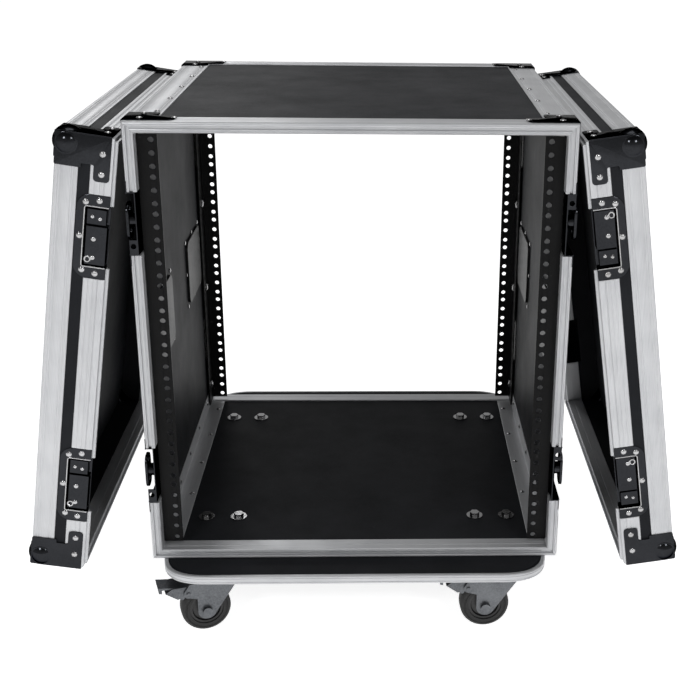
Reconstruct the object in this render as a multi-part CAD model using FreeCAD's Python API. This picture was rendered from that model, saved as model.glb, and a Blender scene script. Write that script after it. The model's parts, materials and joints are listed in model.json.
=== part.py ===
import FreeCAD, Part
import math
import os

from FreeCAD import Rotation, Vector

# Rack case on a castor board, with its two lids taken off and leaning beside it.
# Millimetres. +X is to the right of someone facing the front opening, +Y runs from
# the front opening to the rear one, and +Z is up. The origin is on the floor, under
# the middle of the case.

# ---- 19-inch rack standard ----
RACK_UNITS = 12
UNIT = 44.45
HOLES_IN_UNIT = (6.35, 22.225, 38.1)
RACK_HOLE_SPACING = 465.1
RACK_HOLE_R = 3.3

# ---- case body ----
BODY_D = 512.0
PLY = 9.0
SKIN = 1.5               # aluminium that stands proud of the plywood
RACK_GAP = 6.6           # plywood to the ends of the rails
RAIL_SETBACK = 16.5      # opening plane to the face of the rails
EDGE_LEG = 38.0
INNER_LEG = 24.0
INNER_ANGLE_T = 1.5

# ---- opening extrusion, on the body and on the rims of the lids ----
RAIL_CLEARANCE = 1.0     # inner angles to the side walls of the rails
FRAME_FACE = SKIN + PLY + INNER_ANGLE_T + RAIL_CLEARANCE    # width of the mating face
FRAME_BEAD = 6.0         # solid part behind the mating face
FRAME_FLANGE = 32.0      # outer flange of the body, from the opening plane
LID_FLANGE = 25.4        # the same on a lid
FRAME_LIP = 25.0         # inner lip, from the opening plane
TONGUE_W = 3.6
TONGUE_H = 3.4
GROOVE_CLEARANCE = 0.4

# ---- rack rails ----
RAIL_FACE = 24.5
RAIL_HOLE_IN = 16.95      # side wall of a rail to its rack holes
RAIL_DEPTH = 40.0
RAIL_T = 2.0
RAIL_BOLT_R = 3.0
RAIL_BOLT_ENDS = (29.5, 198.0)    # bolt to the nearer end of its rail
RAIL_BOLT_BACK = 17.0             # face of the rail to the line of its bolts
RAIL_BOLT_HEAD_R = 6.5
RAIL_BOLT_HEAD = 3.0

# ---- latches ----
LATCH_END = 120.0        # latch centre from the end of the body or lid
DISH_T = 1.2
DISH_H = 102.0
POCKET_H = 74.0
BODY_DISH = 64.0         # opening plane to the edge of the body half
LID_DISH = 38.5          # the same for the lid half
POCKET_MARGIN = 9.5      # end of a pocket to the edge of its dish
DISH_CORNER = 16.0
PIVOT_BACK = 20.0        # latch pivot behind the opening plane
PIVOT_R = 3.0
RUNNING = 0.05           # radial clearance of shafts in bores
HOOK_REACH = 26.0
HOOK_T = 2.4
HOOK_R = 5.0
HUB_R = 8.0
WING_L = 44.0
WING_W = 26.0
WING_T = 3.0
KEEPER_GAP = 2.5
KEEPER_H = 47.0
BRACKET_H = 18.0
LOCATOR_OFF = 27.0
LOCATOR_HOLE_R = 3.3

# ---- recessed handles ----
HANDLE_FROM_OPENING = 130.0
HANDLE_FLANGE_L = 126.0
HANDLE_FLANGE_H = 104.0
HANDLE_TRAY_L = 112.0
HANDLE_TRAY_H = 90.0
HANDLE_TRAY_DEPTH = 12.5
HANDLE_CORNER = 10.0
GRIP_PIN_R = 2.5
GRIP_BAR_R = 4.5
GRIP_SPAN = 94.0
GRIP_DROP = 46.0
GRIP_PIVOT_UP = 24.0     # pivot above the centre of the tray
GRIP_LEG_W = 8.0

# ---- castor board ----
BOARD_T = 11.5
BOARD_INSET = 13.5       # side of the body to the side of the board
BOARD_OVERHANG = 45.0    # opening plane to the end of the board
BOARD_CORNER = 60.0
BOARD_LIP = 5.0
BOARD_SKIN = 1.5

# ---- castors ----
CASTER_X = 184.0
CASTER_IN = 3.0          # swivel axis behind the opening plane
PLATE_T = 2.5
PLATE_X = 90.0
PLATE_Y = 68.0
PLATE_CORNER = 8.0
PLATE_HOLES = (75.0, 45.0)
SCREW_R = 3.0
SCREW_HEAD_R = 6.0
SCREW_HEAD = 3.5
SWIVEL_R = 23.0
SWIVEL_PLAY = 0.3
KING_PIN_R = 6.0
WHEEL_R = 32.5
WHEEL_W = 24.0
CORE_R = 22.0
HUB_PROUD = 1.5
AXLE_R = 4.0
AXLE_HEAD_R = 6.5
AXLE_HEAD = 5.0
TRAIL = 15.0
FORK_T = 2.5
HUB_PLAY = 0.75
CROWN_OVER_WHEEL = 7.0
CROWN_T = 3.0
RACE_H = 4.0
UPPER_RACE_H = 6.2
PEDAL_PIN_OVER_WHEEL = 4.5
PEDAL_PIN_ANGLE = 51.6     # degrees above level, from the axle to the pin
PEDAL_PIN_R = 2.5
PEDAL_GAP = 0.35
PEDAL_T = 1.5
SWIVEL_ANGLES = {"front_left": 18.0, "front_right": 4.0, "rear_left": 10.0, "rear_right": -8.0}

# ---- floor bolts ----
FLOOR_BOLT_PAIR = 43.5
FLOOR_BOLT_X = 183.25
FLOOR_BOLT_Y = 164.0
FLOOR_BOLT_R = 4.0
WASHER_R = 11.0
WASHER_T = 1.5
NUT_R = 6.5
NUT_H = 4.5

# ---- corner hardware and rivets ----
BRACE_T = 1.2
BRACE_BACK = 8.0         # opening plane to the near edge of a body brace
BRACE_LONG = 60.0        # leg of a body brace beside the opening
BRACE_WIDE = 26.0        # width of that leg
BRACE_DEEP = 49.0        # leg of a body brace along the long edge of the body
BALL_R = 18.5
BALL_IN = 12.5           # ball centre from the side and end of the lid
BALL_DEEP = 12.5         # ball centre behind the outer face of the lid
CORNER_CUT = 16.0
CORNER_BAND = 30.0       # width of the corner plates round the ball
CORNER_LEG = 53.0        # end of the lid to the end of the leg beside the rim
CORNER_LEG_W = 18.5
CORNER_RIM_GAP = 3.0     # rim plane to the corner plates
CORNER_RIVETS = (20.0, 44.0)
RIVET_R = 3.6
RIVET_H = 1.6

# ---- lids ----
LID_DEPTH = 67.0
LID_EDGE_SIDE = 27.6
LID_EDGE_FACE = 30.0
LID_LEAN = 8.5           # degrees from upright
LID_CLEAR = 3.5          # side of the body to the tongue at the top of the rim
LID_BOTTOM = 86.2        # floor to the low end of the rim

# ---- worked out ----
CORE_W = WHEEL_W + 2 * HUB_PROUD
FORK_INNER = CORE_W + 2 * HUB_PLAY
CROWN_Z = 2 * WHEEL_R + CROWN_OVER_WHEEL
CASTER_H = CROWN_Z + CROWN_T + RACE_H + SWIVEL_PLAY + UPPER_RACE_H + PLATE_T
PEDAL_ANGLE = math.radians(PEDAL_PIN_ANGLE)
PEDAL_REACH = WHEEL_R + PEDAL_PIN_OVER_WHEEL
PEDAL_PIN = (-TRAIL - PEDAL_REACH * math.cos(PEDAL_ANGLE), WHEEL_R + PEDAL_REACH * math.sin(PEDAL_ANGLE))
BODY_W = RACK_HOLE_SPACING + 2 * (RAIL_HOLE_IN + FRAME_FACE)
BODY_H = RACK_UNITS * UNIT + 2 * (RACK_GAP + PLY + SKIN)
BODY_Z0 = CASTER_H + BOARD_T
BODY_Z1 = BODY_Z0 + BODY_H
BODY_MID_Z = (BODY_Z0 + BODY_Z1) / 2
HALF_W = BODY_W / 2
HALF_D = BODY_D / 2
PLY_OUT = HALF_W - SKIN
PLY_IN = PLY_OUT - PLY
FRAME_IN = HALF_W - FRAME_FACE
RAIL_Z0 = BODY_Z0 + SKIN + PLY + RACK_GAP
CASTER_Y = HALF_D - CASTER_IN


def box(x, y, z):
    """Box from three (low, high) spans."""
    size = [high - low for low, high in (x, y, z)]
    return Part.makeBox(*size, Vector(x[0], y[0], z[0]))


def cylinder(radius, start, end):
    """Cylinder between two points."""
    start, end = Vector(*start), Vector(*end)
    return Part.makeCylinder(radius, (end - start).Length, start, end - start)


def fuse(shapes):
    """One shape from several touching ones."""
    first, rest = shapes[0], shapes[1:]
    return (first.multiFuse(rest) if rest else first).removeSplitter()


def mirrored_x(shape):
    return shape.mirror(Vector(0, 0, 0), Vector(1, 0, 0))


def mirrored_y(shape):
    return shape.mirror(Vector(0, 0, 0), Vector(0, 1, 0))


def rounded_slab(plane, centre, size, radius, span):
    """Rounded rectangle in plane "xy" or "yz", centred at centre, extruded over span."""
    half_a, half_b = size[0] / 2, size[1] / 2
    r = min(radius, half_a, half_b)
    edges = []
    corners = ((half_a - r, half_b - r), (r - half_a, half_b - r),
               (r - half_a, r - half_b), (half_a - r, r - half_b))

    def point(a, b):
        a, b = a + centre[0], b + centre[1]
        return Vector(a, b, span[0]) if plane == "xy" else Vector(span[0], a, b)

    def on_corner(index, degrees):
        angle = math.radians(degrees)
        a, b = corners[index]
        return point(a + r * math.cos(angle), b + r * math.sin(angle))

    for index in range(4):
        start = 90 * index
        arc = Part.Arc(on_corner(index, start), on_corner(index, start + 45), on_corner(index, start + 90))
        edges.append(arc.toShape())
        line_end = on_corner((index + 1) % 4, start + 90)
        if (line_end - on_corner(index, start + 90)).Length > 1e-6:
            edges.append(Part.LineSegment(on_corner(index, start + 90), line_end).toShape())
    face = Part.Face(Part.Wire(edges))
    depth = span[1] - span[0]
    return face.extrude(Vector(0, 0, depth) if plane == "xy" else Vector(depth, 0, 0))


def prism_xz(points, y):
    """Polygon in XZ extruded over the (low, high) span of y."""
    corners = [Vector(x, y[0], z) for x, z in points]
    face = Part.Face(Part.makePolygon(corners + corners[:1]))
    return face.extrude(Vector(0, y[1] - y[0], 0))


def rivet(at, direction, radius=RIVET_R, height=RIVET_H):
    """Domed head that stands on a surface at a point."""
    ball_r = (radius ** 2 + height ** 2) / (2 * height)
    direction = Vector(*direction)
    centre = Vector(*at) - direction * (ball_r - height)
    low = math.degrees(math.asin((ball_r - height) / ball_r))
    return Part.makeSphere(ball_r, centre, direction, low, 90, 360)


def write(node, shapes):
    """Write one sub-part as its own STEP file."""
    shapes = shapes if isinstance(shapes, list) else [shapes]
    solids = [solid for shape in shapes for solid in shape.Solids]
    shape = solids[0] if len(solids) == 1 else Part.makeCompound(solids)
    shape.exportStep(f"parts/{node}.step")


# ---- places ----

def latch_places():
    """Name, side, end and height of each of the eight body latches."""
    for end_name, end in (("front", -1), ("rear", 1)):
        for side_name, side in (("left", -1), ("right", 1)):
            for level, z in (("low", BODY_Z0 + LATCH_END), ("high", BODY_Z1 - LATCH_END)):
                yield f"{end_name}_{side_name}_{level}", side, end, z


def handle_places():
    for end_name, end in (("front", -1), ("rear", 1)):
        for side_name, side in (("left", -1), ("right", 1)):
            yield f"{side_name}_{end_name}", side, end * (HALF_D - HANDLE_FROM_OPENING)


def caster_places():
    for end_name, end in (("front", -1), ("rear", 1)):
        for side_name, side in (("left", -1), ("right", 1)):
            yield f"{end_name}_{side_name}", side * CASTER_X, end * CASTER_Y


def rail_places():
    for side in (-1, 1):
        for end in (-1, 1):
            yield side, end


def turned(shape, side, end):
    """Turn latch hardware made for the right side of the front to another side or end.

    The hardware isn't handed, so it is turned half round and never mirrored.
    """
    result = shape.copy()
    if side * end > 0:
        result.rotate(Vector(0, 0, 0), Vector(0, 1, 0), 180)
    if end > 0:
        result.rotate(Vector(0, 0, 0), Vector(0, 0, 1), 180)
    return result


# ---- opening frame, shared by the body and the lids ----

def opening_frame(latch_heights, flange_depth, tongue):
    """Four mitred extrusions round an opening at y = 0, centred on z = 0.

    The body lies on the +Y side. A groove runs down the mating face of the body, and
    a tongue down that of a lid.
    """
    half_h = BODY_H / 2

    def ring(inset, width, y):
        outer_w, outer_h = HALF_W - inset, half_h - inset
        inner_w, inner_h = outer_w - width, outer_h - width
        outer = box((-outer_w, outer_w), y, (-outer_h, outer_h))
        hole_y = (y[0] - 1, y[1] + 1)
        return outer.cut(box((-inner_w, inner_w), hole_y, (-inner_h, inner_h)))

    bead = ring(0, FRAME_FACE, (0, FRAME_BEAD))
    flange = ring(0, SKIN, (0, flange_depth))
    lip = ring(SKIN + PLY, FRAME_FACE - SKIN - PLY, (0, FRAME_LIP))
    frame = fuse([bead, flange, lip])
    middle = (FRAME_FACE - TONGUE_W) / 2
    if tongue:
        frame = fuse([frame, ring(middle, TONGUE_W, (-TONGUE_H, 0))])
    else:
        extra = GROOVE_CLEARANCE
        frame = frame.cut(ring(middle - extra, TONGUE_W + 2 * extra, (-1, TONGUE_H + extra)))
    for z in latch_heights:
        for side in (-1, 1):
            deep = (-TONGUE_H - 1, flange_depth + 1)
            inner = sorted((side * (PLY_IN - 0.1), side * (HALF_W + 1)))
            outer = sorted((side * (PLY_OUT - 0.1), side * (HALF_W + 1)))
            half_pocket, half_dish = POCKET_H / 2 + DISH_T + 0.1, DISH_H / 2 + 0.5
            frame = frame.cut(box(inner, deep, (z - half_pocket, z + half_pocket)))
            frame = frame.cut(box(outer, deep, (z - half_dish, z + half_dish)))
    return mitred(frame, FRAME_FACE + 10, (-TONGUE_H - 1, flange_depth + 1))


def mitred(ring, reach, y):
    """Cut a ring the size of the opening into four members with mitred corners."""
    out_w, out_h = HALF_W + 1, BODY_H / 2 + 1
    in_w, in_h = out_w - reach, out_h - reach
    upper = [(-out_w, out_h), (out_w, out_h), (in_w, in_h), (-in_w, in_h)]
    right = [(out_w, out_h), (out_w, -out_h), (in_w, -in_h), (in_w, in_h)]
    members = []
    for outline in (upper, right):
        for sign in (1, -1):
            members.append(ring.common(prism_xz([(sign * x, sign * z) for x, z in outline], y)))
    return members


# ---- body ----

def body_panels():
    y = (-HALF_D + FRAME_BEAD, HALF_D - FRAME_BEAD)
    top = box((-PLY_OUT, PLY_OUT), y, (BODY_Z1 - SKIN - PLY, BODY_Z1 - SKIN))
    bottom = box((-PLY_OUT, PLY_OUT), y, (BODY_Z0 + SKIN, BODY_Z0 + SKIN + PLY))
    side = box((PLY_IN, PLY_OUT), y, (BODY_Z0 + SKIN + PLY, BODY_Z1 - SKIN - PLY))
    panels = {"panel_left": mirrored_x(side), "panel_right": side}
    for bolt_x, bolt_y in floor_bolt_places():
        bottom = bottom.cut(cylinder(FLOOR_BOLT_R, (bolt_x, bolt_y, BODY_Z0), (bolt_x, bolt_y, BODY_Z0 + 30)))
    for _, side_sign, end, z in latch_places():
        hole = body_pocket(DISH_T)
        hole = turned(hole, side_sign, end)
        hole.translate(Vector(0, 0, z))
        key = side_key(side_sign)
        panels[key] = panels[key].cut(hole)
    for _, side_sign, y_mid in handle_places():
        size = (HANDLE_TRAY_L + 2 * DISH_T, HANDLE_TRAY_H + 2 * DISH_T)
        span = (PLY_IN - 1, PLY_OUT + 1)
        hole = rounded_slab("yz", (y_mid, BODY_MID_Z), size, HANDLE_CORNER + DISH_T, span)
        key = side_key(side_sign)
        panels[key] = panels[key].cut(hole if side_sign > 0 else mirrored_x(hole))
    for side_sign, end in rail_places():
        key = side_key(side_sign)
        for y_bolt, z in rail_bolt_places(end):
            ends = (side_sign * (PLY_IN - 1), y_bolt, z), (side_sign * (PLY_OUT + 1), y_bolt, z)
            panels[key] = panels[key].cut(cylinder(RAIL_BOLT_R, *ends))
    for node, panel in panels.items():
        write(node, panel)
    write("panel_top", top)
    write("panel_bottom", bottom)


def side_key(side):
    return "panel_left" if side < 0 else "panel_right"


def body_frames():
    heights = (LATCH_END - BODY_H / 2, BODY_H / 2 - LATCH_END)
    members = opening_frame(heights, FRAME_FLANGE, tongue=False)
    front = [member.translated(Vector(0, -HALF_D, BODY_MID_Z)) for member in members]
    write("frame_front", front)
    write("frame_rear", [mirrored_y(member) for member in front])


def edge_angles():
    """Outer angle along each of the four long edges of the body."""
    y = (-HALF_D + FRAME_FLANGE, HALF_D - FRAME_FLANGE)
    angles = []
    for low, high, skin in ((BODY_Z1 - EDGE_LEG, BODY_Z1, (BODY_Z1 - SKIN, BODY_Z1)),
                            (BODY_Z0, BODY_Z0 + EDGE_LEG, (BODY_Z0, BODY_Z0 + SKIN))):
        flat = box((HALF_W - EDGE_LEG, HALF_W), y, skin)
        upright = box((PLY_OUT, HALF_W), y, (low, high))
        angle = fuse([flat, upright])
        angles += [angle, mirrored_x(angle)]
    write("edge_angles", angles)


def inner_angles():
    """Angle along the joint of the floor and each side."""
    y = (-HALF_D + FRAME_LIP, HALF_D - FRAME_LIP)
    z = BODY_Z0 + SKIN + PLY
    flat = box((PLY_IN - INNER_LEG, PLY_IN), y, (z, z + INNER_ANGLE_T))
    upright = box((PLY_IN - INNER_ANGLE_T, PLY_IN), y, (z, z + INNER_LEG))
    angle = fuse([flat, upright])
    write("inner_angles", [angle, mirrored_x(angle)])


# ---- rails ----

def rail_bolt_places(end):
    """Y and height of the four bolts that hold a rail to its wall."""
    y = end * (HALF_D - RAIL_SETBACK - RAIL_BOLT_BACK)
    top = RAIL_Z0 + RACK_UNITS * UNIT
    low = [(y, RAIL_Z0 + inset) for inset in RAIL_BOLT_ENDS]
    return low + [(y, top - inset) for inset in RAIL_BOLT_ENDS]


def rails():
    """Four angle rails with the standard rack hole pattern."""
    height = RACK_UNITS * UNIT
    z = (RAIL_Z0, RAIL_Z0 + height)
    face_y = (-HALF_D + RAIL_SETBACK, -HALF_D + RAIL_SETBACK + RAIL_T)
    leg_y = (-HALF_D + RAIL_SETBACK, -HALF_D + RAIL_SETBACK + RAIL_DEPTH)
    face = box((FRAME_IN - RAIL_FACE, FRAME_IN), face_y, z)
    leg = box((FRAME_IN - RAIL_T, FRAME_IN), leg_y, z)
    rail = fuse([face, leg])
    holes = []
    for unit in range(RACK_UNITS):
        for offset in HOLES_IN_UNIT:
            x, hole_z = RACK_HOLE_SPACING / 2, RAIL_Z0 + unit * UNIT + offset
            ends = (x, face_y[0] - 1, hole_z), (x, face_y[1] + 1, hole_z)
            holes.append(cylinder(RACK_HOLE_R, *ends))
    for y_bolt, bolt_z in rail_bolt_places(-1):
        ends = (FRAME_IN - RAIL_T - 1, y_bolt, bolt_z), (FRAME_IN + 1, y_bolt, bolt_z)
        holes.append(cylinder(RAIL_BOLT_R, *ends))
    rail = rail.cut(Part.makeCompound(holes))
    pair = [rail, mirrored_x(rail)]
    write("rack_rails", pair + [mirrored_y(shape) for shape in pair])


def rail_bolts():
    """Domed bolts through the rails and walls, each with a spacer behind its rail."""
    bolts = []
    for side, end in rail_places():
        inner = FRAME_IN - RAIL_T
        for y, z in rail_bolt_places(end):
            shank = cylinder(RAIL_BOLT_R, (side * inner, y, z), (side * PLY_OUT, y, z))
            spacer = cylinder(RAIL_BOLT_HEAD_R, (side * FRAME_IN, y, z), (side * PLY_IN, y, z))
            head = rivet((side * inner, y, z), (-side, 0, 0), RAIL_BOLT_HEAD_R, RAIL_BOLT_HEAD)
            bolts.append(fuse([shank, spacer, head]))
    write("rail_bolts", bolts)


# ---- latches ----

def body_pocket(wall):
    """Space of a body latch pocket, with its wall thickness added when it isn't 0."""
    half = POCKET_H / 2 + wall
    y = (-HALF_D - 1, -HALF_D + BODY_DISH - POCKET_MARGIN + wall)
    back = PLY_IN if wall else PLY_IN + DISH_T
    return box((back, PLY_OUT + 5), y, (-half, half))


def dish(length, depth_y):
    """Pressed dish half: rounded flange, open tray and back, at the right front.

    depth_y gives the y of a distance from the opening plane.
    """
    near, far, pocket = depth_y(0), depth_y(length), depth_y(length - POCKET_MARGIN)
    away = 1 if far > near else -1
    flange_y = (near + far) / 2
    flange_x = (PLY_OUT, PLY_OUT + DISH_T)
    flange = rounded_slab("yz", (flange_y, 0), (length, DISH_H), DISH_CORNER, flange_x)
    square = box(flange_x, sorted((near, near + away * DISH_CORNER)), (-DISH_H / 2, DISH_H / 2))
    tray_half = POCKET_H / 2 + DISH_T
    tray = box((PLY_IN, PLY_OUT), sorted((near, pocket + away * DISH_T)), (-tray_half, tray_half))
    space_y = sorted((near - away, pocket))
    space = box((PLY_IN + DISH_T, PLY_OUT + 5), space_y, (-POCKET_H / 2, POCKET_H / 2))
    return fuse([flange, square, tray]).cut(space)


def body_dish():
    """Body half of a latch, with its pivot stud and locating plate."""
    shape = dish(BODY_DISH, lambda depth: -HALF_D + depth)
    pivot_y = -HALF_D + PIVOT_BACK
    back = PLY_IN + DISH_T
    stud = cylinder(PIVOT_R, (back, pivot_y, 0), (back + 6, pivot_y, 0))
    low = HOOK_REACH - 6.5
    plate = box((back, PLY_OUT + DISH_T), (-HALF_D, -HALF_D + 2), (low, POCKET_H / 2))
    middle = (back + PLY_OUT + DISH_T) / 2
    hole = cylinder(LOCATOR_HOLE_R, (middle, -HALF_D - 1, LOCATOR_OFF), (middle, -HALF_D + 3, LOCATOR_OFF))
    return fuse([shape, stud, plate]).cut(hole)


def latch_turn():
    """Moving part of a latch: hub, hook below it and finger wing above it."""
    pivot_y = -HALF_D + PIVOT_BACK
    low = PLY_IN + DISH_T + 0.4
    wing_x = (PLY_OUT + DISH_T + 0.4, PLY_OUT + DISH_T + 0.4 + WING_T)
    hub = cylinder(HUB_R, (low, pivot_y, 0), (wing_x[1], pivot_y, 0))
    nose_y = pivot_y + HOOK_REACH - HOOK_R
    hook_x = (low + 1.2, low + 1.2 + HOOK_T)
    nose = cylinder(HOOK_R, (hook_x[0], nose_y, 0), (hook_x[1], nose_y, 0))
    arm = box(hook_x, (pivot_y, nose_y), (-HOOK_R, HOOK_R))
    wing = rounded_slab("yz", (pivot_y, 0), (WING_W, WING_L), WING_W * 0.42, wing_x)
    for sign in (-1, 1):
        finger_z = sign * (WING_L / 4 + 2.5)
        finger = cylinder(5.0, (wing_x[0] - 1, pivot_y, finger_z), (wing_x[1] + 1, pivot_y, finger_z))
        wing = wing.cut(finger)
    bore_end = PLY_IN + DISH_T + 6.5
    bore = cylinder(PIVOT_R + RUNNING, (low - 1, pivot_y, 0), (bore_end, pivot_y, 0))
    return fuse([hub, nose, arm, wing]).cut(bore)


def latches():
    dish_shape, turn_shape = body_dish(), latch_turn()
    dishes = []
    for name, side, end, z in latch_places():
        placed = turned(dish_shape, side, end)
        placed.translate(Vector(0, 0, z))
        dishes.append(placed)
        turn = turned(turn_shape, side, end)
        turn.translate(Vector(0, 0, z))
        write(f"latch_{name}", turn)
    write("latch_dishes", dishes)


def lid_keeper():
    """Lid half of a latch: dish, keeper bridge and bracket, at the right side.

    The lid lies on the -Y side of its rim plane.
    """
    shape = dish(LID_DISH, lambda depth: -depth)
    back = PLY_IN + DISH_T
    low, high = -POCKET_H / 2 + KEEPER_GAP, -POCKET_H / 2 + KEEPER_GAP + KEEPER_H
    span_y = (POCKET_MARGIN + 3 - LID_DISH, -2)
    bridge = box((back + 5, back + 7), span_y, (low, high))
    cheeks = [box((back, back + 7), span_y, (z, z + 2)) for z in (low, high - 2)]
    bracket = box((back, back + 6.5), (span_y[0], -4), (high + KEEPER_GAP, high + KEEPER_GAP + BRACKET_H))
    return fuse([shape, bridge, bracket] + cheeks)


# ---- handles ----

def handle_dish(y_mid):
    """Recessed tray of a side handle, on the right side."""
    flange_x = (PLY_OUT, PLY_OUT + DISH_T)
    middle = (y_mid, BODY_MID_Z)
    flange = rounded_slab("yz", middle, (HANDLE_FLANGE_L, HANDLE_FLANGE_H), HANDLE_CORNER, flange_x)
    size = (HANDLE_TRAY_L, HANDLE_TRAY_H)
    outer = tuple(length + 2 * DISH_T for length in size)
    back = PLY_OUT - HANDLE_TRAY_DEPTH
    tray = rounded_slab("yz", middle, outer, HANDLE_CORNER + DISH_T, (back, PLY_OUT))
    space = rounded_slab("yz", middle, size, HANDLE_CORNER, (back + DISH_T, PLY_OUT + 5))
    shape = fuse([flange, tray]).cut(space)
    x, z = grip_pivot()
    reach = HANDLE_TRAY_L / 2 + 2 * DISH_T
    return shape.cut(cylinder(GRIP_PIN_R + RUNNING, (x, y_mid - reach, z), (x, y_mid + reach, z)))


def grip_pivot():
    """X and height of a grip's hinge line, on the right side."""
    return PLY_OUT - GRIP_BAR_R - 1.0, BODY_MID_Z + GRIP_PIVOT_UP


def handle_grip(y_mid):
    """Bail that hangs in its tray: two legs, a round bar and a pin at each end."""
    x, z = grip_pivot()
    half = GRIP_SPAN / 2
    bar_z = z - GRIP_DROP
    bar = cylinder(GRIP_BAR_R, (x, y_mid - half, bar_z), (x, y_mid + half, bar_z))
    pieces = [bar]
    for sign in (-1, 1):
        leg_y = sorted((y_mid + sign * half, y_mid + sign * (half - GRIP_LEG_W)))
        leg = box((x - 3, x + 3), leg_y, (bar_z, z))
        end_start, end_stop = (x, leg_y[0], z), (x, leg_y[1], z)
        eye = cylinder(GRIP_PIN_R + 2.5, end_start, end_stop)
        pin_end = y_mid + sign * (HANDLE_TRAY_L / 2 + DISH_T)
        pin = cylinder(GRIP_PIN_R, (x, y_mid + sign * (half - 1), z), (x, pin_end, z))
        pieces += [leg, eye, pin]
    return fuse(pieces)


def handles():
    dishes = []
    for name, side, y_mid in handle_places():
        dish_shape, grip = handle_dish(y_mid), handle_grip(y_mid)
        if side < 0:
            dish_shape, grip = mirrored_x(dish_shape), mirrored_x(grip)
        dishes.append(dish_shape)
        write(f"grip_{name}", grip)
    write("handle_dishes", dishes)


# ---- castor board ----

def board_slab(inset, z):
    size = (BODY_W - 2 * (BOARD_INSET + inset), BODY_D + 2 * (BOARD_OVERHANG - inset))
    return rounded_slab("xy", (0, 0), size, BOARD_CORNER - inset, z)


def caster_board():
    """Plywood board and the aluminium channel round its edge."""
    z = (CASTER_H, BODY_Z0)
    inside = (z[0] + BOARD_SKIN, z[1] - BOARD_SKIN)
    core = fuse([board_slab(BOARD_LIP, z), board_slab(BOARD_SKIN, inside)])
    channel = board_slab(0, z).cut(core)
    holes = [cylinder(FLOOR_BOLT_R, (x, y, z[0] - 1), (x, y, z[1] + 1)) for x, y in floor_bolt_places()]
    holes += [cylinder(SCREW_R, (x, y, z[0] - 1), (x, y, z[0] + BOARD_T - 2.5)) for x, y in screw_places()]
    write("caster_board", core.cut(Part.makeCompound(holes)))
    write("board_edging", channel)


def floor_bolt_places():
    for side in (-1, 1):
        for y in (-FLOOR_BOLT_Y, FLOOR_BOLT_Y):
            for offset in (-FLOOR_BOLT_PAIR / 2, FLOOR_BOLT_PAIR / 2):
                yield side * FLOOR_BOLT_X + offset, y


def floor_bolts():
    """Bolts that hold the body down on the board, with washers inside and heads below."""
    floor = BODY_Z0 + SKIN + PLY
    bolts = []
    for x, y in floor_bolt_places():
        shank = cylinder(FLOOR_BOLT_R, (x, y, CASTER_H), (x, y, floor))
        packer = cylinder(WASHER_R, (x, y, BODY_Z0), (x, y, BODY_Z0 + SKIN))
        washer = cylinder(WASHER_R, (x, y, floor), (x, y, floor + WASHER_T))
        nuts = [hexagon(x, y, floor + WASHER_T), hexagon(x, y, CASTER_H - NUT_H)]
        bolts.append(fuse([shank, packer, washer] + nuts))
    return bolts


def hexagon(x, y, z):
    """Nut or bolt head with its base at z."""
    turns = [math.radians(60 * step) for step in range(7)]
    corners = [Vector(x + NUT_R * math.cos(turn), y + NUT_R * math.sin(turn), z) for turn in turns]
    return Part.Face(Part.makePolygon(corners)).extrude(Vector(0, 0, NUT_H))


# ---- castors ----
# Each castor is made at its swivel axis, with the wheel trailing towards -X.

def screw_places():
    for _, x, y in caster_places():
        for dx in (-PLATE_HOLES[0] / 2, PLATE_HOLES[0] / 2):
            for dy in (-PLATE_HOLES[1] / 2, PLATE_HOLES[1] / 2):
                yield x + dx, y + dy


def caster_screws():
    """Screws that hold the castor plates up under the board."""
    screws = []
    low = CASTER_H - PLATE_T
    for x, y in screw_places():
        shank = cylinder(SCREW_R, (x, y, low), (x, y, CASTER_H + BOARD_T - 3))
        head = cylinder(SCREW_HEAD_R, (x, y, low - SCREW_HEAD), (x, y, low))
        screws.append(fuse([shank, head]))
    return screws


def caster_plate():
    """Top plate, upper race and king pin of a castor."""
    low = CASTER_H - PLATE_T
    plate = rounded_slab("xy", (0, 0), (PLATE_X, PLATE_Y), PLATE_CORNER, (low, CASTER_H))
    race_z = CROWN_Z + CROWN_T + RACE_H + SWIVEL_PLAY
    race = cylinder(SWIVEL_R, (0, 0, race_z), (0, 0, low))
    pin_head = CROWN_Z - SWIVEL_PLAY
    pin = cylinder(KING_PIN_R, (0, 0, pin_head - 1), (0, 0, race_z))
    head = cylinder(KING_PIN_R + 4, (0, 0, pin_head - 3), (0, 0, pin_head))
    shape = fuse([plate, race, pin, head])
    holes = []
    for dx in (-PLATE_HOLES[0] / 2, PLATE_HOLES[0] / 2):
        for dy in (-PLATE_HOLES[1] / 2, PLATE_HOLES[1] / 2):
            holes.append(cylinder(SCREW_R, (dx, dy, low - 1), (dx, dy, CASTER_H + 1)))
    return shape.cut(Part.makeCompound(holes))


def fork_cheek():
    """Side plate of the fork, in XZ, from the crown down to the axle and pedal pin."""
    axle_x, axle_z = -TRAIL, WHEEL_R
    pin_x, pin_z = PEDAL_PIN
    top, eye = CROWN_Z + CROWN_T, AXLE_R + 8
    leading = SWIVEL_R + 3
    outline = [(leading, top), (leading, top - 5), (axle_x + eye * 0.85, axle_z - eye * 0.5),
               (axle_x, axle_z), (axle_x - eye, axle_z), (axle_x - eye, pin_z - 9.5), (pin_x - 4, pin_z - 5),
               (pin_x - 6, pin_z + 2), (pin_x + 2, top)]
    half = FORK_INNER / 2
    plate = prism_xz(outline, (half, half + FORK_T))
    foot = cylinder(eye, (axle_x, half, axle_z), (axle_x, half + FORK_T, axle_z))
    ear = cylinder(6.0, (pin_x, half, pin_z), (pin_x, half + FORK_T, pin_z))
    return fuse([plate, foot, ear])


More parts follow.
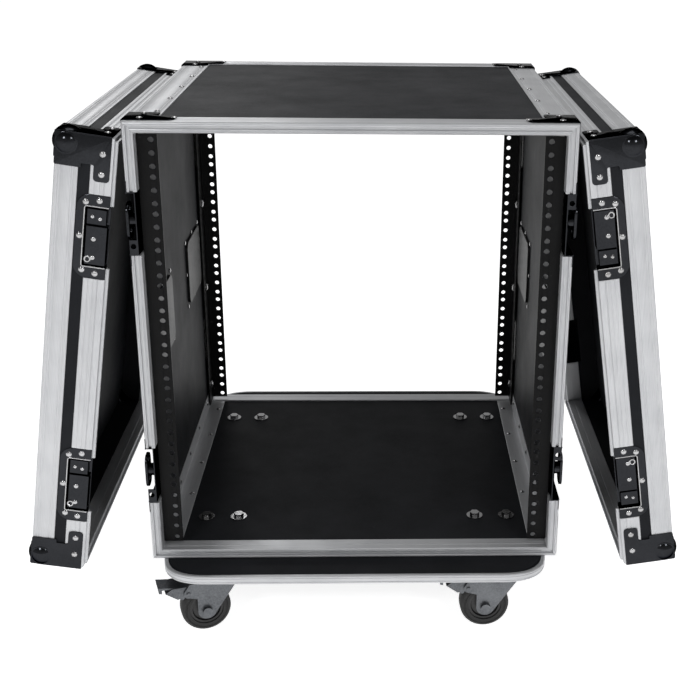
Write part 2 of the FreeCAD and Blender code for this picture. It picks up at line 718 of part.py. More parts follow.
def fork():
    """Fork with its crown, lower race and pedal pin, and the axle bolt as a second solid."""
    cheek = fork_cheek()
    half = FORK_INNER / 2 + FORK_T
    crown_z = (CROWN_Z, CROWN_Z + CROWN_T)
    crown = box((-TRAIL - 10, SWIVEL_R + 3), (-half, half), crown_z)
    dome = cylinder(SWIVEL_R + 3, (0, 0, crown_z[0]), (0, 0, crown_z[1]))
    race = cylinder(SWIVEL_R, (0, 0, crown_z[1]), (0, 0, crown_z[1] + RACE_H))
    pin_x, pin_z = PEDAL_PIN
    pin = cylinder(PEDAL_PIN_R, (pin_x, -half - 1.5, pin_z), (pin_x, half + 1.5, pin_z))
    body = fuse([cheek, mirrored_y(cheek), crown, dome, race, pin])
    bore = cylinder(KING_PIN_R + RUNNING, (0, 0, CROWN_Z - 1), (0, 0, CROWN_Z + 20))
    axle_ends = (-TRAIL, -half - 1, WHEEL_R), (-TRAIL, half + 1, WHEEL_R)
    body = body.cut(Part.makeCompound([bore, cylinder(AXLE_R + RUNNING, *axle_ends)]))
    axle = cylinder(AXLE_R, (-TRAIL, -half, WHEEL_R), (-TRAIL, half, WHEEL_R))
    heads = [cylinder(AXLE_HEAD_R, (-TRAIL, sign * half, WHEEL_R),
                      (-TRAIL, sign * (half + AXLE_HEAD), WHEEL_R)) for sign in (-1, 1)]
    return [body, fuse([axle] + heads)]


def wheel_tyre():
    half = WHEEL_W / 2
    tyre = cylinder(WHEEL_R, (-TRAIL, -half, WHEEL_R), (-TRAIL, half, WHEEL_R))
    tyre = tyre.makeFillet(4.0, [edge for edge in tyre.Edges if edge.Closed])
    return tyre.cut(cylinder(CORE_R, (-TRAIL, -half - 1, WHEEL_R), (-TRAIL, half + 1, WHEEL_R)))


def wheel_core():
    half, hub = WHEEL_W / 2 - 1.5, CORE_W / 2
    disc = cylinder(CORE_R, (-TRAIL, -half, WHEEL_R), (-TRAIL, half, WHEEL_R))
    nave = cylinder(AXLE_R + 6, (-TRAIL, -hub, WHEEL_R), (-TRAIL, hub, WHEEL_R))
    bore = cylinder(AXLE_R + RUNNING, (-TRAIL, -hub - 1, WHEEL_R), (-TRAIL, hub + 1, WHEEL_R))
    return fuse([disc, nave]).cut(bore)


def brake_pedal():
    """Foot pedal: two flanges on the pin, a web over them, a tread and a brake bar."""
    pin_x, pin_z = PEDAL_PIN
    outer = FORK_INNER / 2 - PEDAL_GAP
    outline = [(pin_x + 5, pin_z - 4), (pin_x + 5, pin_z + 9), (pin_x - 20, pin_z + 9.5),
               (pin_x - 29, pin_z + 4), (pin_x - 14, pin_z - 7)]
    flange = prism_xz(outline, (outer - PEDAL_T, outer))
    web_top = [(pin_x + 5, pin_z + 7.5), (pin_x + 5, pin_z + 9), (pin_x - 20, pin_z + 9.5),
               (pin_x - 29, pin_z + 4), (pin_x - 28, pin_z + 3), (pin_x - 20, pin_z + 8)]
    web = prism_xz(web_top, (-outer, outer))
    tread_top = [(pin_x - 15, pin_z + 8.4), (pin_x - 15, pin_z + 9.4), (pin_x - 38, pin_z + 13),
                 (pin_x - 37, pin_z + 5), (pin_x - 33, pin_z + 4), (pin_x - 33, pin_z + 9)]
    tread = prism_xz(tread_top, (-outer + 2, outer - 2))
    bar_x, bar_z = pin_x - 8, pin_z - 5.5
    bar = cylinder(3.0, (bar_x, -outer, bar_z), (bar_x, outer, bar_z))
    shape = fuse([flange, mirrored_y(flange), web, tread, bar])
    bore = cylinder(PEDAL_PIN_R + RUNNING, (pin_x, -outer - 1, pin_z), (pin_x, outer + 1, pin_z))
    return shape.cut(bore)


def casters():
    pieces = {"fork": fork(), "tyre": [wheel_tyre()], "core": [wheel_core()], "pedal": [brake_pedal()]}
    plates = []
    for name, x, y in caster_places():
        at = Vector(x, y, 0)
        plates.append(caster_plate().translated(at))
        for kind, shapes in pieces.items():
            placed = []
            for shape in shapes:
                copy = shape.copy()
                copy.rotate(Vector(0, 0, 0), Vector(0, 0, 1), SWIVEL_ANGLES[name])
                copy.translate(at)
                placed.append(copy)
            write(f"{kind}_{name}", placed)
    write("caster_plates", plates)


# ---- corner braces and rivets of the body ----

def corner_braces():
    """Folded brace over each corner of the body, just behind the opening frame.

    Each face of a brace is an L: a long leg beside the opening and one along the edge.
    """
    near = -HALF_D + BRACE_BACK
    out = HALF_W + BRACE_T
    beside, along = (near, near + BRACE_WIDE), (near, near + BRACE_DEEP)
    top = (BODY_Z1, BODY_Z1 + BRACE_T)
    side = (HALF_W, out)
    legs = [(BRACE_LONG, beside), (EDGE_LEG, along)]
    flat = [box((HALF_W - length, out), y, top) for length, y in legs]
    upright = [box(side, y, (BODY_Z1 - length, BODY_Z1)) for length, y in legs]
    upper = fuse(flat + upright)
    lower = upper.mirror(Vector(0, 0, BODY_MID_Z), Vector(0, 0, 1))
    lower = lower.cut(board_slab(-1, (CASTER_H - 1, BODY_Z0)))
    front = [upper, mirrored_x(upper), lower, mirrored_x(lower)]
    write("corner_braces", front + [mirrored_y(shape) for shape in front])


def brace_rivets():
    """Rivets on the top and side faces of the braces, at the right front."""
    near = -HALF_D + BRACE_BACK
    out = HALF_W + BRACE_T
    top = BODY_Z1 + BRACE_T
    rivets = []
    for inset, y in ((12, near + 11), (12, near + BRACE_DEEP - 8), (BRACE_LONG - 8, near + BRACE_WIDE / 2)):
        rivets.append(rivet((HALF_W - inset - 6, y, top), (0, 0, 1)))
        rivets.append(rivet((out, y, BODY_Z1 - inset - 6), (1, 0, 0)))
        rivets.append(rivet((out, y, BODY_Z0 + inset + 6), (1, 0, 0)))
    return rivets


def spread(low, high, pitch):
    """Evenly spaced values from low to high, about pitch apart."""
    count = max(1, round((high - low) / pitch))
    return [low + (high - low) * step / count for step in range(count + 1)]


def body_rivets():
    """Domed rivets of the angles and of the latch and handle dishes."""
    rivets = []
    in_row = HALF_W - EDGE_LEG + 8
    clear = BRACE_BACK + BRACE_DEEP + 12
    for y in spread(-HALF_D + clear, HALF_D - clear, 95):
        rivets.append(rivet((in_row, y, BODY_Z1), (0, 0, 1)))
        rivets.append(rivet((HALF_W, y, BODY_Z1 - EDGE_LEG + 8), (1, 0, 0)))
        rivets.append(rivet((HALF_W, y, BODY_Z0 + EDGE_LEG - 8), (1, 0, 0)))
    floor = BODY_Z0 + SKIN + PLY + INNER_ANGLE_T
    for y in spread(-HALF_D + 60, HALF_D - 60, 95):
        rivets.append(rivet((PLY_IN - INNER_LEG + 7, y, floor), (0, 0, 1)))
    between_rails = HALF_D - RAIL_SETBACK - RAIL_DEPTH - 15
    for y in spread(-between_rails, between_rails, 95):
        rivets.append(rivet((PLY_IN - INNER_ANGLE_T, y, floor + INNER_LEG - 9), (-1, 0, 0)))
    braces = brace_rivets()
    rivets += braces + [mirrored_y(shape) for shape in braces]
    mirrored = [mirrored_x(shape) for shape in rivets]
    dish_rivets = []
    rim = rivet_row(BODY_DISH)
    for _, side, end, z in latch_places():
        for depth, height in rim:
            shape = rivet((PLY_OUT + DISH_T, -HALF_D + depth, height), (1, 0, 0))
            placed = turned(shape, side, end)
            placed.translate(Vector(0, 0, z))
            dish_rivets.append(placed)
    for _, side, y_mid in handle_places():
        for dy in (-1, 0, 1):
            for dz in (-1, 0, 1):
                if dy == 0 and dz == 0:
                    continue
                at = (side * (PLY_OUT + DISH_T), y_mid + dy * (HANDLE_TRAY_L / 2 + 4),
                      BODY_MID_Z + dz * (HANDLE_TRAY_H / 2 + 4))
                dish_rivets.append(rivet(at, (side, 0, 0), 2.6, 1.2))
    write("body_rivets", rivets + mirrored + dish_rivets)


def rivet_row(length):
    """Distance behind the opening plane and height of the five rivets of a dish."""
    edge, top = length - 5.5, DISH_H / 2 - 6.5
    return [(length * 0.32, top), (edge - 5, top - 3), (edge, 0), (edge - 5, 3 - top), (length * 0.32, -top)]


# ---- lids ----
# A lid is made as if it closed the front of the body: its rim plane is at y = 0, its
# middle at z = 0 and its outer face at -Y. Then it is turned to where it leans.

def lid_box(inset_side, y):
    half_h = BODY_H / 2 - inset_side
    half_w = HALF_W - inset_side
    return box((-half_w, half_w), y, (-half_h, half_h))


def corner_cutter():
    """The four vertex cubes that the ball corners replace."""
    half_h = BODY_H / 2
    cubes = []
    for x_sign in (-1, 1):
        for z_sign in (-1, 1):
            x = sorted((x_sign * (HALF_W - CORNER_CUT), x_sign * (HALF_W + 1)))
            z = sorted((z_sign * (half_h - CORNER_CUT), z_sign * (half_h + 1)))
            cubes.append(box(x, (-LID_DEPTH - 1, -LID_DEPTH + CORNER_CUT), z))
    return cubes


def keeper_places():
    for side in (-1, 1):
        for height in (LATCH_END - BODY_H / 2, BODY_H / 2 - LATCH_END):
            yield side, height


def lid_walls(cutter):
    """Four plywood walls, the long ones notched for the latch dishes."""
    y = (-LID_DEPTH + SKIN + PLY, -FRAME_BEAD)
    half_h = BODY_H / 2 - SKIN
    long_wall = box((PLY_IN, PLY_OUT), y, (-half_h, half_h))
    short_wall = box((-PLY_IN, PLY_IN), y, (half_h - PLY, half_h))
    half = POCKET_H / 2 + DISH_T
    notch_y = (-(LID_DISH - POCKET_MARGIN + DISH_T), 1)
    for _, height in keeper_places():
        long_wall = long_wall.cut(box((PLY_IN - 1, PLY_OUT + 1), notch_y, (height - half, height + half)))
    long_wall = long_wall.cut(cutter)
    flipped = short_wall.mirror(Vector(0, 0, 0), Vector(0, 0, 1))
    return [long_wall, mirrored_x(long_wall), short_wall.cut(cutter), flipped.cut(cutter)]


def lid_edging(cutter):
    """Four mitred angles round the outer edge of a lid."""
    face_y = (-LID_DEPTH, -LID_DEPTH + SKIN)
    side_y = (-LID_DEPTH, -LID_DEPTH + LID_EDGE_SIDE)
    side = lid_box(0, side_y).cut(lid_box(SKIN, (side_y[0] - 1, side_y[1] + 1)))
    face = lid_box(0, face_y).cut(lid_box(LID_EDGE_FACE, (face_y[0] - 1, face_y[1] + 1)))
    ring = fuse([side, face]).cut(cutter)
    return mitred(ring, LID_EDGE_FACE + 10, side_y)


def ball_corners():
    """Ball corners of a lid, each with its plates, and the rivets that hold them.

    Plates wrap both side walls from the ball to the rim, and a leg with two rivets
    runs down beside the rim on each. A short plate lies on the outer face.
    """
    x, z = HALF_W, BODY_H / 2
    outer = -LID_DEPTH
    solid_lid = lid_box(0, (outer, 0))
    centre = Vector(x - BALL_IN, outer + BALL_DEEP, z - BALL_IN)
    past_ball = BALL_R + 1
    vertex = box((x - CORNER_CUT, x + past_ball), (outer - past_ball, outer + CORNER_CUT),
                 (z - CORNER_CUT, z + past_ball))
    ball = Part.makeSphere(BALL_R, centre).cut(solid_lid.cut(vertex))
    across = (outer + CORNER_CUT - 4, -CORNER_RIM_GAP)
    leg = (-CORNER_RIM_GAP - CORNER_LEG_W, -CORNER_RIM_GAP)
    face, cap = (outer - BRACE_T, outer), (outer, outer + CORNER_BAND)
    on_x, on_z = (x, x + BRACE_T), (z, z + BRACE_T)
    past = CORNER_CUT - 4
    plates = [
        box(on_x, across, (z - CORNER_BAND, z + BRACE_T)),
        box((x - CORNER_BAND, x + BRACE_T), across, on_z),
        box(on_x, leg, (z - CORNER_LEG, z)),
        box((x - CORNER_LEG, x), leg, on_z),
        box(on_x, cap, (z - CORNER_BAND, z - past)),
        box((x - CORNER_BAND, x - past), cap, on_z),
        box((x - CORNER_BAND, x + BRACE_T), face, (z - CORNER_BAND, z - past)),
        box((x - CORNER_BAND, x - past), face, (z - CORNER_BAND, z + BRACE_T)),
    ]
    corner = fuse([ball] + plates)
    y = -CORNER_RIM_GAP - CORNER_LEG_W / 2
    rivets = []
    for inset in CORNER_RIVETS:
        rivets.append(rivet((x + BRACE_T, y, z - inset), (1, 0, 0)))
        rivets.append(rivet((x - inset, y, z + BRACE_T), (0, 0, 1)))
    rivets.append(rivet((x - 26, outer - BRACE_T, z - 26), (0, -1, 0)))
    return four_corners([corner]), four_corners(rivets)


def four_corners(shapes):
    """Copies of shapes at the four corners of a lid."""
    half = shapes + [mirrored_x(shape) for shape in shapes]
    return half + [shape.mirror(Vector(0, 0, 0), Vector(0, 0, 1)) for shape in half]


def keepers():
    """Lid halves of the latches, and the rivets round them."""
    heads = [rivet((PLY_OUT + DISH_T, -depth, z), (1, 0, 0)) for depth, z in rivet_row(LID_DISH)]
    return at_keepers([lid_keeper()]), at_keepers(heads)


def at_keepers(shapes):
    """Copies of shapes at the four latch places of a lid."""
    placed = []
    for side, height in keeper_places():
        for shape in shapes:
            copy = shape.copy()
            if side < 0:
                copy.rotate(Vector(0, 0, 0), Vector(0, 1, 0), 180)
            copy.translate(Vector(0, 0, height))
            placed.append(copy)
    return placed


def lid_pieces():
    """Every solid of one lid, by kind, in the closed position."""
    cutter = Part.makeCompound(corner_cutter())
    heights = (LATCH_END - BODY_H / 2, BODY_H / 2 - LATCH_END)
    rim = [mirrored_y(member) for member in opening_frame(heights, LID_FLANGE, tongue=True)]
    board = lid_box(SKIN, (-LID_DEPTH + SKIN, -LID_DEPTH + SKIN + PLY)).cut(cutter)
    corners, corner_rivets = ball_corners()
    keeper_dishes, keeper_rivets = keepers()
    return {
        "lid_board": [board],
        "lid_walls": lid_walls(cutter),
        "lid_rim": rim,
        "lid_edging": lid_edging(cutter),
        "lid_corners": corners,
        "lid_keepers": keeper_dishes,
        "lid_rivets": corner_rivets + keeper_rivets,
    }


def lids():
    """The two lids, each leaning beside the body with its hollow facing the wall."""
    pieces = lid_pieces()
    lean = math.radians(LID_LEAN)
    rim_mid_x = HALF_W + LID_CLEAR + TONGUE_H + BODY_H * math.sin(lean) / 2
    rim_mid_z = LID_BOTTOM + BODY_H * math.cos(lean) / 2
    # The side of each lid that faces forward is level with the front opening.
    lid_y = (BODY_W - BODY_D) / 2
    for name, sign in (("left", -1), ("right", 1)):
        turn = Rotation(Vector(0, 1, 0), -sign * LID_LEAN).multiply(Rotation(Vector(0, 0, 1), sign * 90))
        place = FreeCAD.Placement(Vector(sign * rim_mid_x, lid_y, rim_mid_z), turn)
        for kind, shapes in pieces.items():
            write(f"{kind}_{name}", [shape.transformed(place.toMatrix()) for shape in shapes])


def main():
    os.makedirs("parts", exist_ok=True)
    body_panels()
    body_frames()
    edge_angles()
    inner_angles()
    rails()
    rail_bolts()
    latches()
    handles()
    caster_board()
    casters()
    write("board_bolts", floor_bolts() + caster_screws())
    corner_braces()
    body_rivets()
    lids()


main()
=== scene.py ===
"""Looks of a wheeled rack case with two lids leaning at its sides.

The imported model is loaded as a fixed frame. Pressed and turned pieces that need more
shape than the frame gives them are built here in millimetres and ride on its bodies.
"""
import json
import logging
import math
from collections.abc import Iterator, Sequence
from dataclasses import dataclass, replace
from enum import Enum

import bmesh
import bpy
from mathutils import Matrix, Vector


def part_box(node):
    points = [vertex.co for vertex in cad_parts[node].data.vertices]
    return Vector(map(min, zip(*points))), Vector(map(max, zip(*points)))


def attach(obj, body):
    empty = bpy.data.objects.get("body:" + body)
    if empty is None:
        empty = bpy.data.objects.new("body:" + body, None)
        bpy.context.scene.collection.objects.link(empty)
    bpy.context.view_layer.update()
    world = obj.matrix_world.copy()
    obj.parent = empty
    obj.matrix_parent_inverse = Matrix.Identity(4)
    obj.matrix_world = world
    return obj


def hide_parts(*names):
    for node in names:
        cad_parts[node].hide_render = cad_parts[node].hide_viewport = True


log = logging.getLogger("rack_case")

MM = 0.001
SHARP_DEG = 34.0        # edges that turn more than this are shaded sharp
EASED_DEG = 40.0        # edges of the frame that turn more than this are softened
SAME_POINT_M = 1e-6     # corners of the frame closer than this are one corner
MERGE_MM = 0.02         # points of a new piece closer than this are one point
SLIVER_MM = 0.01        # edges of a new piece shorter than this are dissolved
TIP_MM = 0.01           # smallest radius of a turned piece, where it meets its axis
PLATE_EDGE_MM = 0.25    # rounding along the edges of pressed plates
SPIKE = 0.4             # keeps an inset outline from shooting out at its sharp corners

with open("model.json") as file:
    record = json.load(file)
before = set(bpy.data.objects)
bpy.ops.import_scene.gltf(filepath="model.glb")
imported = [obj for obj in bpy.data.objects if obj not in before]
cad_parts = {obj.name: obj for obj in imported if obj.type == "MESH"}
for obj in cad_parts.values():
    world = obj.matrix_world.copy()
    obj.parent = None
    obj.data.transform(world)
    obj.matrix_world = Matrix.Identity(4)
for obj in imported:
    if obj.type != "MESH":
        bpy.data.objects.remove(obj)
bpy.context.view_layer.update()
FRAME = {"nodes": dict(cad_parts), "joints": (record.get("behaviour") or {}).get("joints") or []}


# ---- small tools ----

def linear(colour: str) -> tuple[float, float, float, float]:
    """Turn an sRGB hex colour into linear light.

    Args:
        colour: Six hex digits after a hash.

    Returns:
        Red, green, blue and an alpha of one.
    """
    channels = []
    for start in (1, 3, 5):
        value = int(colour[start:start + 2], 16) / 255
        channels.append(value / 12.92 if value <= 0.04045 else ((value + 0.055) / 1.055) ** 2.4)
    return (channels[0], channels[1], channels[2], 1.0)


def node(tree: bpy.types.NodeTree, kind: str, settings: dict | None = None,
         links: dict | None = None) -> bpy.types.Node:
    """Add one node with its settings and links.

    Args:
        tree: Node tree that gets the node.
        kind: Blender's name of the node type.
        settings: Values by property name, or by input name or number.
        links: Output sockets by the name or number of the input they feed.

    Returns:
        The new node.
    """
    made = tree.nodes.new(kind)
    for key, value in (settings or {}).items():
        if isinstance(key, str) and hasattr(made, key):
            setattr(made, key, value)
        else:
            made.inputs[key].default_value = value
    for key, source in (links or {}).items():
        tree.links.new(source, made.inputs[key])
    return made


def place(origin: Vector, turn: Matrix | None = None) -> Matrix:
    """Matrix that turns about the local origin, then moves to a point in millimetres."""
    return Matrix.Translation(origin) @ (turn or Matrix.Identity(4))


def axis_turn(direction: Vector) -> Matrix:
    """Matrix that turns local +Z to a direction."""
    return direction.to_track_quat("Z", "Y").to_matrix().to_4x4()


def spin(degrees: float, axis: str) -> Matrix:
    """Rotation about a named axis."""
    return Matrix.Rotation(math.radians(degrees), 4, axis)


# ---- outlines, in two dimensions and millimetres ----

def filleted(points: Sequence[tuple[float, float]], radii: float | Sequence[float],
             steps: int = 6) -> list[Vector]:
    """Closed outline whose corners are rounded.

    Args:
        points: Corners in order.
        radii: One radius for all the corners, or one for each.
        steps: Spans in each rounded corner.

    Returns:
        Points of the rounded outline.
    """
    corners = [Vector(point) for point in points]
    sizes = [radii] * len(corners) if isinstance(radii, (int, float)) else radii
    outline = []
    for index, corner in enumerate(corners):
        back = corners[index - 1] - corner
        ahead = corners[(index + 1) % len(corners)] - corner
        reach = sizes[index] / math.tan(max(0.05, back.angle(ahead) / 2))
        reach = min(reach, 0.49 * back.length, 0.49 * ahead.length)
        if reach < 1e-3:
            outline.append(corner)
            continue
        start, stop = corner + back.normalized() * reach, corner + ahead.normalized() * reach
        for step in range(steps + 1):
            t = step / steps
            outline.append(start * (1 - t) ** 2 + corner * 2 * t * (1 - t) + stop * t ** 2)
    return outline


def rectangle(width: float, height: float, radius: float = 0.0, steps: int = 6) -> list[Vector]:
    """Rounded rectangle about the origin, counter-clockwise."""
    a, b = width / 2, height / 2
    return filleted([(-a, -b), (a, -b), (a, b), (-a, b)], radius, steps)


def circle(steps: int) -> list[float]:
    """Angles of evenly spaced points round a circle, in radians."""
    return [2 * math.pi * step / steps for step in range(steps)]


def inset(outline: Sequence[Vector], distance: float) -> list[Vector]:
    """Outline moved inwards by a distance, for either sense of turning.

    Args:
        outline: Closed outline in two dimensions.
        distance: How far it moves.

    Returns:
        As many points as the outline has.
    """
    area = sum(p.cross(q) for p, q in zip(outline, list(outline[1:]) + [outline[0]]))
    sense = 1 if area > 0 else -1
    moved = []
    for index, point in enumerate(outline):
        before = (point - outline[index - 1]).normalized()
        after = (outline[(index + 1) % len(outline)] - point).normalized()
        across = Vector((-(before.y + after.y), before.x + after.x)) * sense
        half = max(SPIKE, across.length / 2)
        moved.append(point + across.normalized() * distance / half)
    return moved


# ---- meshes ----

class Skin:
    """A mesh being built in millimetres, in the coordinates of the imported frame."""

    def __init__(self) -> None:
        """Start with nothing."""
        self.mesh = bmesh.new()

    def rows(self, rows: Sequence[Sequence[Vector]], at: Matrix = Matrix(), wrap: bool = False,
             caps: bool = True) -> None:
        """Join rows of matching points with quads. Each row closes on itself.

        Args:
            rows: Rows of equally many points.
            at: Where the local frame stands.
            wrap: Whether the last row joins the first.
            caps: Whether the first and last rows are filled.
        """
        made = [[self.mesh.verts.new(at @ point) for point in row] for row in rows]
        pairs = list(zip(made, made[1:])) + ([(made[-1], made[0])] if wrap else [])
        for low, high in pairs:
            for index in range(len(low)):
                after = (index + 1) % len(low)
                self.mesh.faces.new((low[index], low[after], high[after], high[index]))
        if caps and not wrap:
            self.mesh.faces.new(list(reversed(made[0])))
            self.mesh.faces.new(made[-1])

    def plate(self, outline: Sequence[Vector], thickness: float, at: Matrix) -> None:
        """Plate with softened edges, from the local XY plane towards local Z.

        Args:
            outline: Its outline in the local XY plane.
            thickness: How thick it is.
            at: Where the local frame stands.
        """
        edge = PLATE_EDGE_MM
        ease = edge * 0.3
        soft = [(edge, 0.0), (ease, ease), (0.0, edge),
                (0.0, thickness - edge), (ease, thickness - ease), (edge, thickness)]
        rows = [[point.to_3d() + Vector((0, 0, z)) for point in inset(outline, amount)]
                for amount, z in soft]
        self.rows(rows, at)

    def lathe(self, profile: Sequence[tuple[float, float]], at: Matrix = Matrix(), steps: int = 32,
              closed: bool = False) -> None:
        """Turned piece about local Z.

        Args:
            profile: Its (radius, height) points.
            at: Where the local frame stands.
            steps: Points round each turn.
            closed: Whether the last point of the profile joins the first.
        """
        rows = []
        for radius, height in profile:
            radius = max(radius, TIP_MM)
            rows.append([Vector((radius * math.cos(a), radius * math.sin(a), height))
                         for a in circle(steps)])
        self.rows(rows, at, wrap=closed)

    def tube(self, path: Sequence[Vector], radius: float, at: Matrix = Matrix(), steps: int = 16) -> None:
        """Round bar along a path, with flat ends.

        Args:
            path: Points along its middle.
            radius: Its radius.
            at: Where the local frame stands.
            steps: Points round each section.
        """
        rows = []
        normal = None
        for index, point in enumerate(path):
            ahead = path[min(index + 1, len(path) - 1)] - path[max(index - 1, 0)]
            ahead.normalize()
            seed = normal if normal is not None else ahead.orthogonal()
            normal = (seed - ahead * seed.dot(ahead)).normalized()
            side = ahead.cross(normal)
            rows.append([point + (normal * math.cos(a) + side * math.sin(a)) * radius
                         for a in circle(steps)])
        self.rows(rows, at)

    def piece(self, name: str, body: str, finish: "Finish", slot: str,
              replaces: Sequence[str] = ()) -> None:
        """Finish the mesh and hand it to the frame.

        Args:
            name: Name of the piece.
            body: Body that it rides on.
            finish: What it is made of.
            slot: Material slot of the record; not used.
            replaces: Nodes of the frame that it stands for.
        """
        mesh = self.mesh
        bmesh.ops.remove_doubles(mesh, verts=mesh.verts, dist=MERGE_MM)
        bmesh.ops.dissolve_degenerate(mesh, edges=mesh.edges, dist=SLIVER_MM)
        bmesh.ops.recalc_face_normals(mesh, faces=mesh.faces)
        bmesh.ops.scale(mesh, vec=Vector((MM, MM, MM)), verts=mesh.verts)
        sharpen(mesh)
        data = bpy.data.meshes.new(name)
        mesh.to_mesh(data)
        mesh.free()
        made = bpy.data.objects.new(name, data)
        bpy.context.scene.collection.objects.link(made)
        data.materials.append(finish.material())
        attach(made, body)
        if replaces:
            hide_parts(*replaces)
        log.info("%s rides on %s", name, body)


def sharpen(mesh: bmesh.types.BMesh) -> None:
    """Shade a mesh smooth, apart from its sharp edges.

    Args:
        mesh: Mesh that is shaded.
    """
    for face in mesh.faces:
        face.smooth = True
    for edge in mesh.edges:
        if len(edge.link_faces) == 2:
            edge.smooth = edge.calc_face_angle(0.0) < math.radians(SHARP_DEG)


def solids_of(name: str) -> Iterator[list[list[Vector]]]:
    """Faces of each separate solid of a node of the frame.

    Args:
        name: Node of the frame.

    Yields:
        Corner points in millimetres of the faces of one solid.
    """
    mesh = bmesh.new()
    mesh.from_mesh(FRAME["nodes"][name].data)
    bmesh.ops.remove_doubles(mesh, verts=mesh.verts, dist=SAME_POINT_M)
    left = set(mesh.faces)
    while left:
        stack = [left.pop()]
        found = list(stack)
        while stack:
            face = stack.pop()
            for edge in face.edges:
                for other in edge.link_faces:
                    if other in left:
                        left.remove(other)
                        stack.append(other)
                        found.append(other)
        yield [[vert.co / MM for vert in face.verts] for face in found]
    mesh.free()


# ---- finishes ----

PATCHES = 14.0          # cloudy patches in a metre
SCUFFS = 95.0           # places in a metre where a scuff may be
DRAWN_RATIO = 60.0      # length of a drawn line, in line spacings
PLASTIC_IOR = 1.5       # index of refraction of whatever part of a finish is not metal


class Grain(Enum):
    """Direction in which a surface was drawn or rolled."""

    ALONG_X = "x"
    ALONG_Y = "y"
    ALONG_Z = "z"
    NONE = "none"

    def stretch(self, fine: float, ratio: float) -> tuple[float, float, float]:
        """Pattern scale along each axis, coarser along the grain."""
        return tuple(fine / ratio if self.value == axis else fine for axis in "xyz")


@dataclass(frozen=True)
class Finish:
    """A material and how its surface was made.

    Args:
        name: Plain name of the material.
        colour: Its colour as an sRGB hex value.
        shade: A darker or duller colour that it varies to.
        metallic: One for bare metal.
        roughness: Typical roughness.
        spread: How much the roughness varies.
        pitch_mm: Spacing of the fine texture.
        depth_mm: Height of the fine texture.
        grain: Direction of the texture.
        wear: Share of the worn colour in its scuffs.
        worn: Colour of the scuffs.
        sheen: Level of the mirror part of what isn't metal.
        edge: Tint of the mirror part where a metal is seen at a glancing angle.
    """

    name: str
    colour: str
    shade: str
    metallic: float
    roughness: float
    spread: float
    pitch_mm: float
    depth_mm: float
    grain: Grain = Grain.NONE
    wear: float = 0.0
    worn: str = "#8c8c8c"
    sheen: float = 0.5
    edge: str = "#ffffff"

    def material(self) -> bpy.types.Material:
        """Blender material of this finish, made once.

        Returns:
            The new material, or the one that was made before.
        """
        name = f"{self.name}_{self.grain.value}"
        found = bpy.data.materials.get(name)
        if found:
            return found
        made = bpy.data.materials.new(name)
        made.use_nodes = True
        tree = made.node_tree
        tree.nodes.clear()
        where = node(tree, "ShaderNodeTexCoord").outputs["Object"]
        fine = self.texture(tree, where)
        patches = node(tree, "ShaderNodeTexNoise", {"Scale": PATCHES, "Detail": 4.0, "Roughness": 0.6},
                       {"Vector": where}).outputs["Fac"]
        blend = node(tree, "ShaderNodeMath", {"operation": "MULTIPLY"}, {0: fine, 1: patches}).outputs[0]
        amount = node(tree, "ShaderNodeMapRange", {"From Min": 0.12, "From Max": 0.42},
                      {"Value": blend}).outputs[0]
        tone = node(tree, "ShaderNodeMix", {"data_type": "RGBA", 6: linear(self.colour),
                                            7: linear(self.shade)}, {0: amount}).outputs[2]
        if self.wear:
            tone = self.scuffed(tree, tone, where)
        rough = node(tree, "ShaderNodeMapRange", {"To Min": self.roughness - self.spread,
                                                  "To Max": self.roughness + self.spread},
                     {"Value": amount}).outputs[0]
        bump = node(tree, "ShaderNodeBump", {"Strength": 0.6, "Distance": self.depth_mm * MM},
                    {"Height": fine}).outputs[0]
        shader = node(tree, "ShaderNodeBsdfPrincipled",
                      {"Metallic": self.metallic, "IOR": PLASTIC_IOR, "Specular IOR Level": self.sheen,
                       "Specular Tint": linear(self.edge)},
                      {"Base Color": tone, "Roughness": rough, "Normal": bump})
        node(tree, "ShaderNodeOutputMaterial", links={"Surface": shader.outputs[0]})
        return made

    def texture(self, tree: bpy.types.NodeTree, where: bpy.types.NodeSocket) -> bpy.types.NodeSocket:
        """Fine height of the surface, from zero to one.

        Args:
            tree: Node tree of the material.
            where: Place on the surface.

        Returns:
            Socket with the height.
        """
        cycles = 1.0 / (self.pitch_mm * MM)
        scale = self.grain.stretch(cycles, DRAWN_RATIO)
        mapped = node(tree, "ShaderNodeMapping", {"Scale": scale}, {"Vector": where}).outputs[0]
        return node(tree, "ShaderNodeTexNoise", {"Scale": 1.0, "Detail": 3.0, "Roughness": 0.65},
                    {"Vector": mapped}).outputs["Fac"]

    def scuffed(self, tree: bpy.types.NodeTree, tone: bpy.types.NodeSocket,
                where: bpy.types.NodeSocket) -> bpy.types.NodeSocket:
        """Sparse paler marks about 10 mm across, where the surface was knocked.

        Args:
            tree: Node tree of the material.
            tone: Colour without marks.
            where: Place on the surface.

        Returns:
            Socket with the marked colour.
        """
        marks = node(tree, "ShaderNodeTexNoise", {"Scale": SCUFFS, "Detail": 6.0, "Roughness": 0.7},
                     {"Vector": where}).outputs["Fac"]
        share = node(tree, "ShaderNodeMapRange", {"From Min": 0.66, "From Max": 0.78, "To Max": self.wear},
                     {"Value": marks}).outputs[0]
        return node(tree, "ShaderNodeMix", {"data_type": "RGBA", 7: linear(self.worn)},
                    {0: share, 6: tone}).outputs[2]


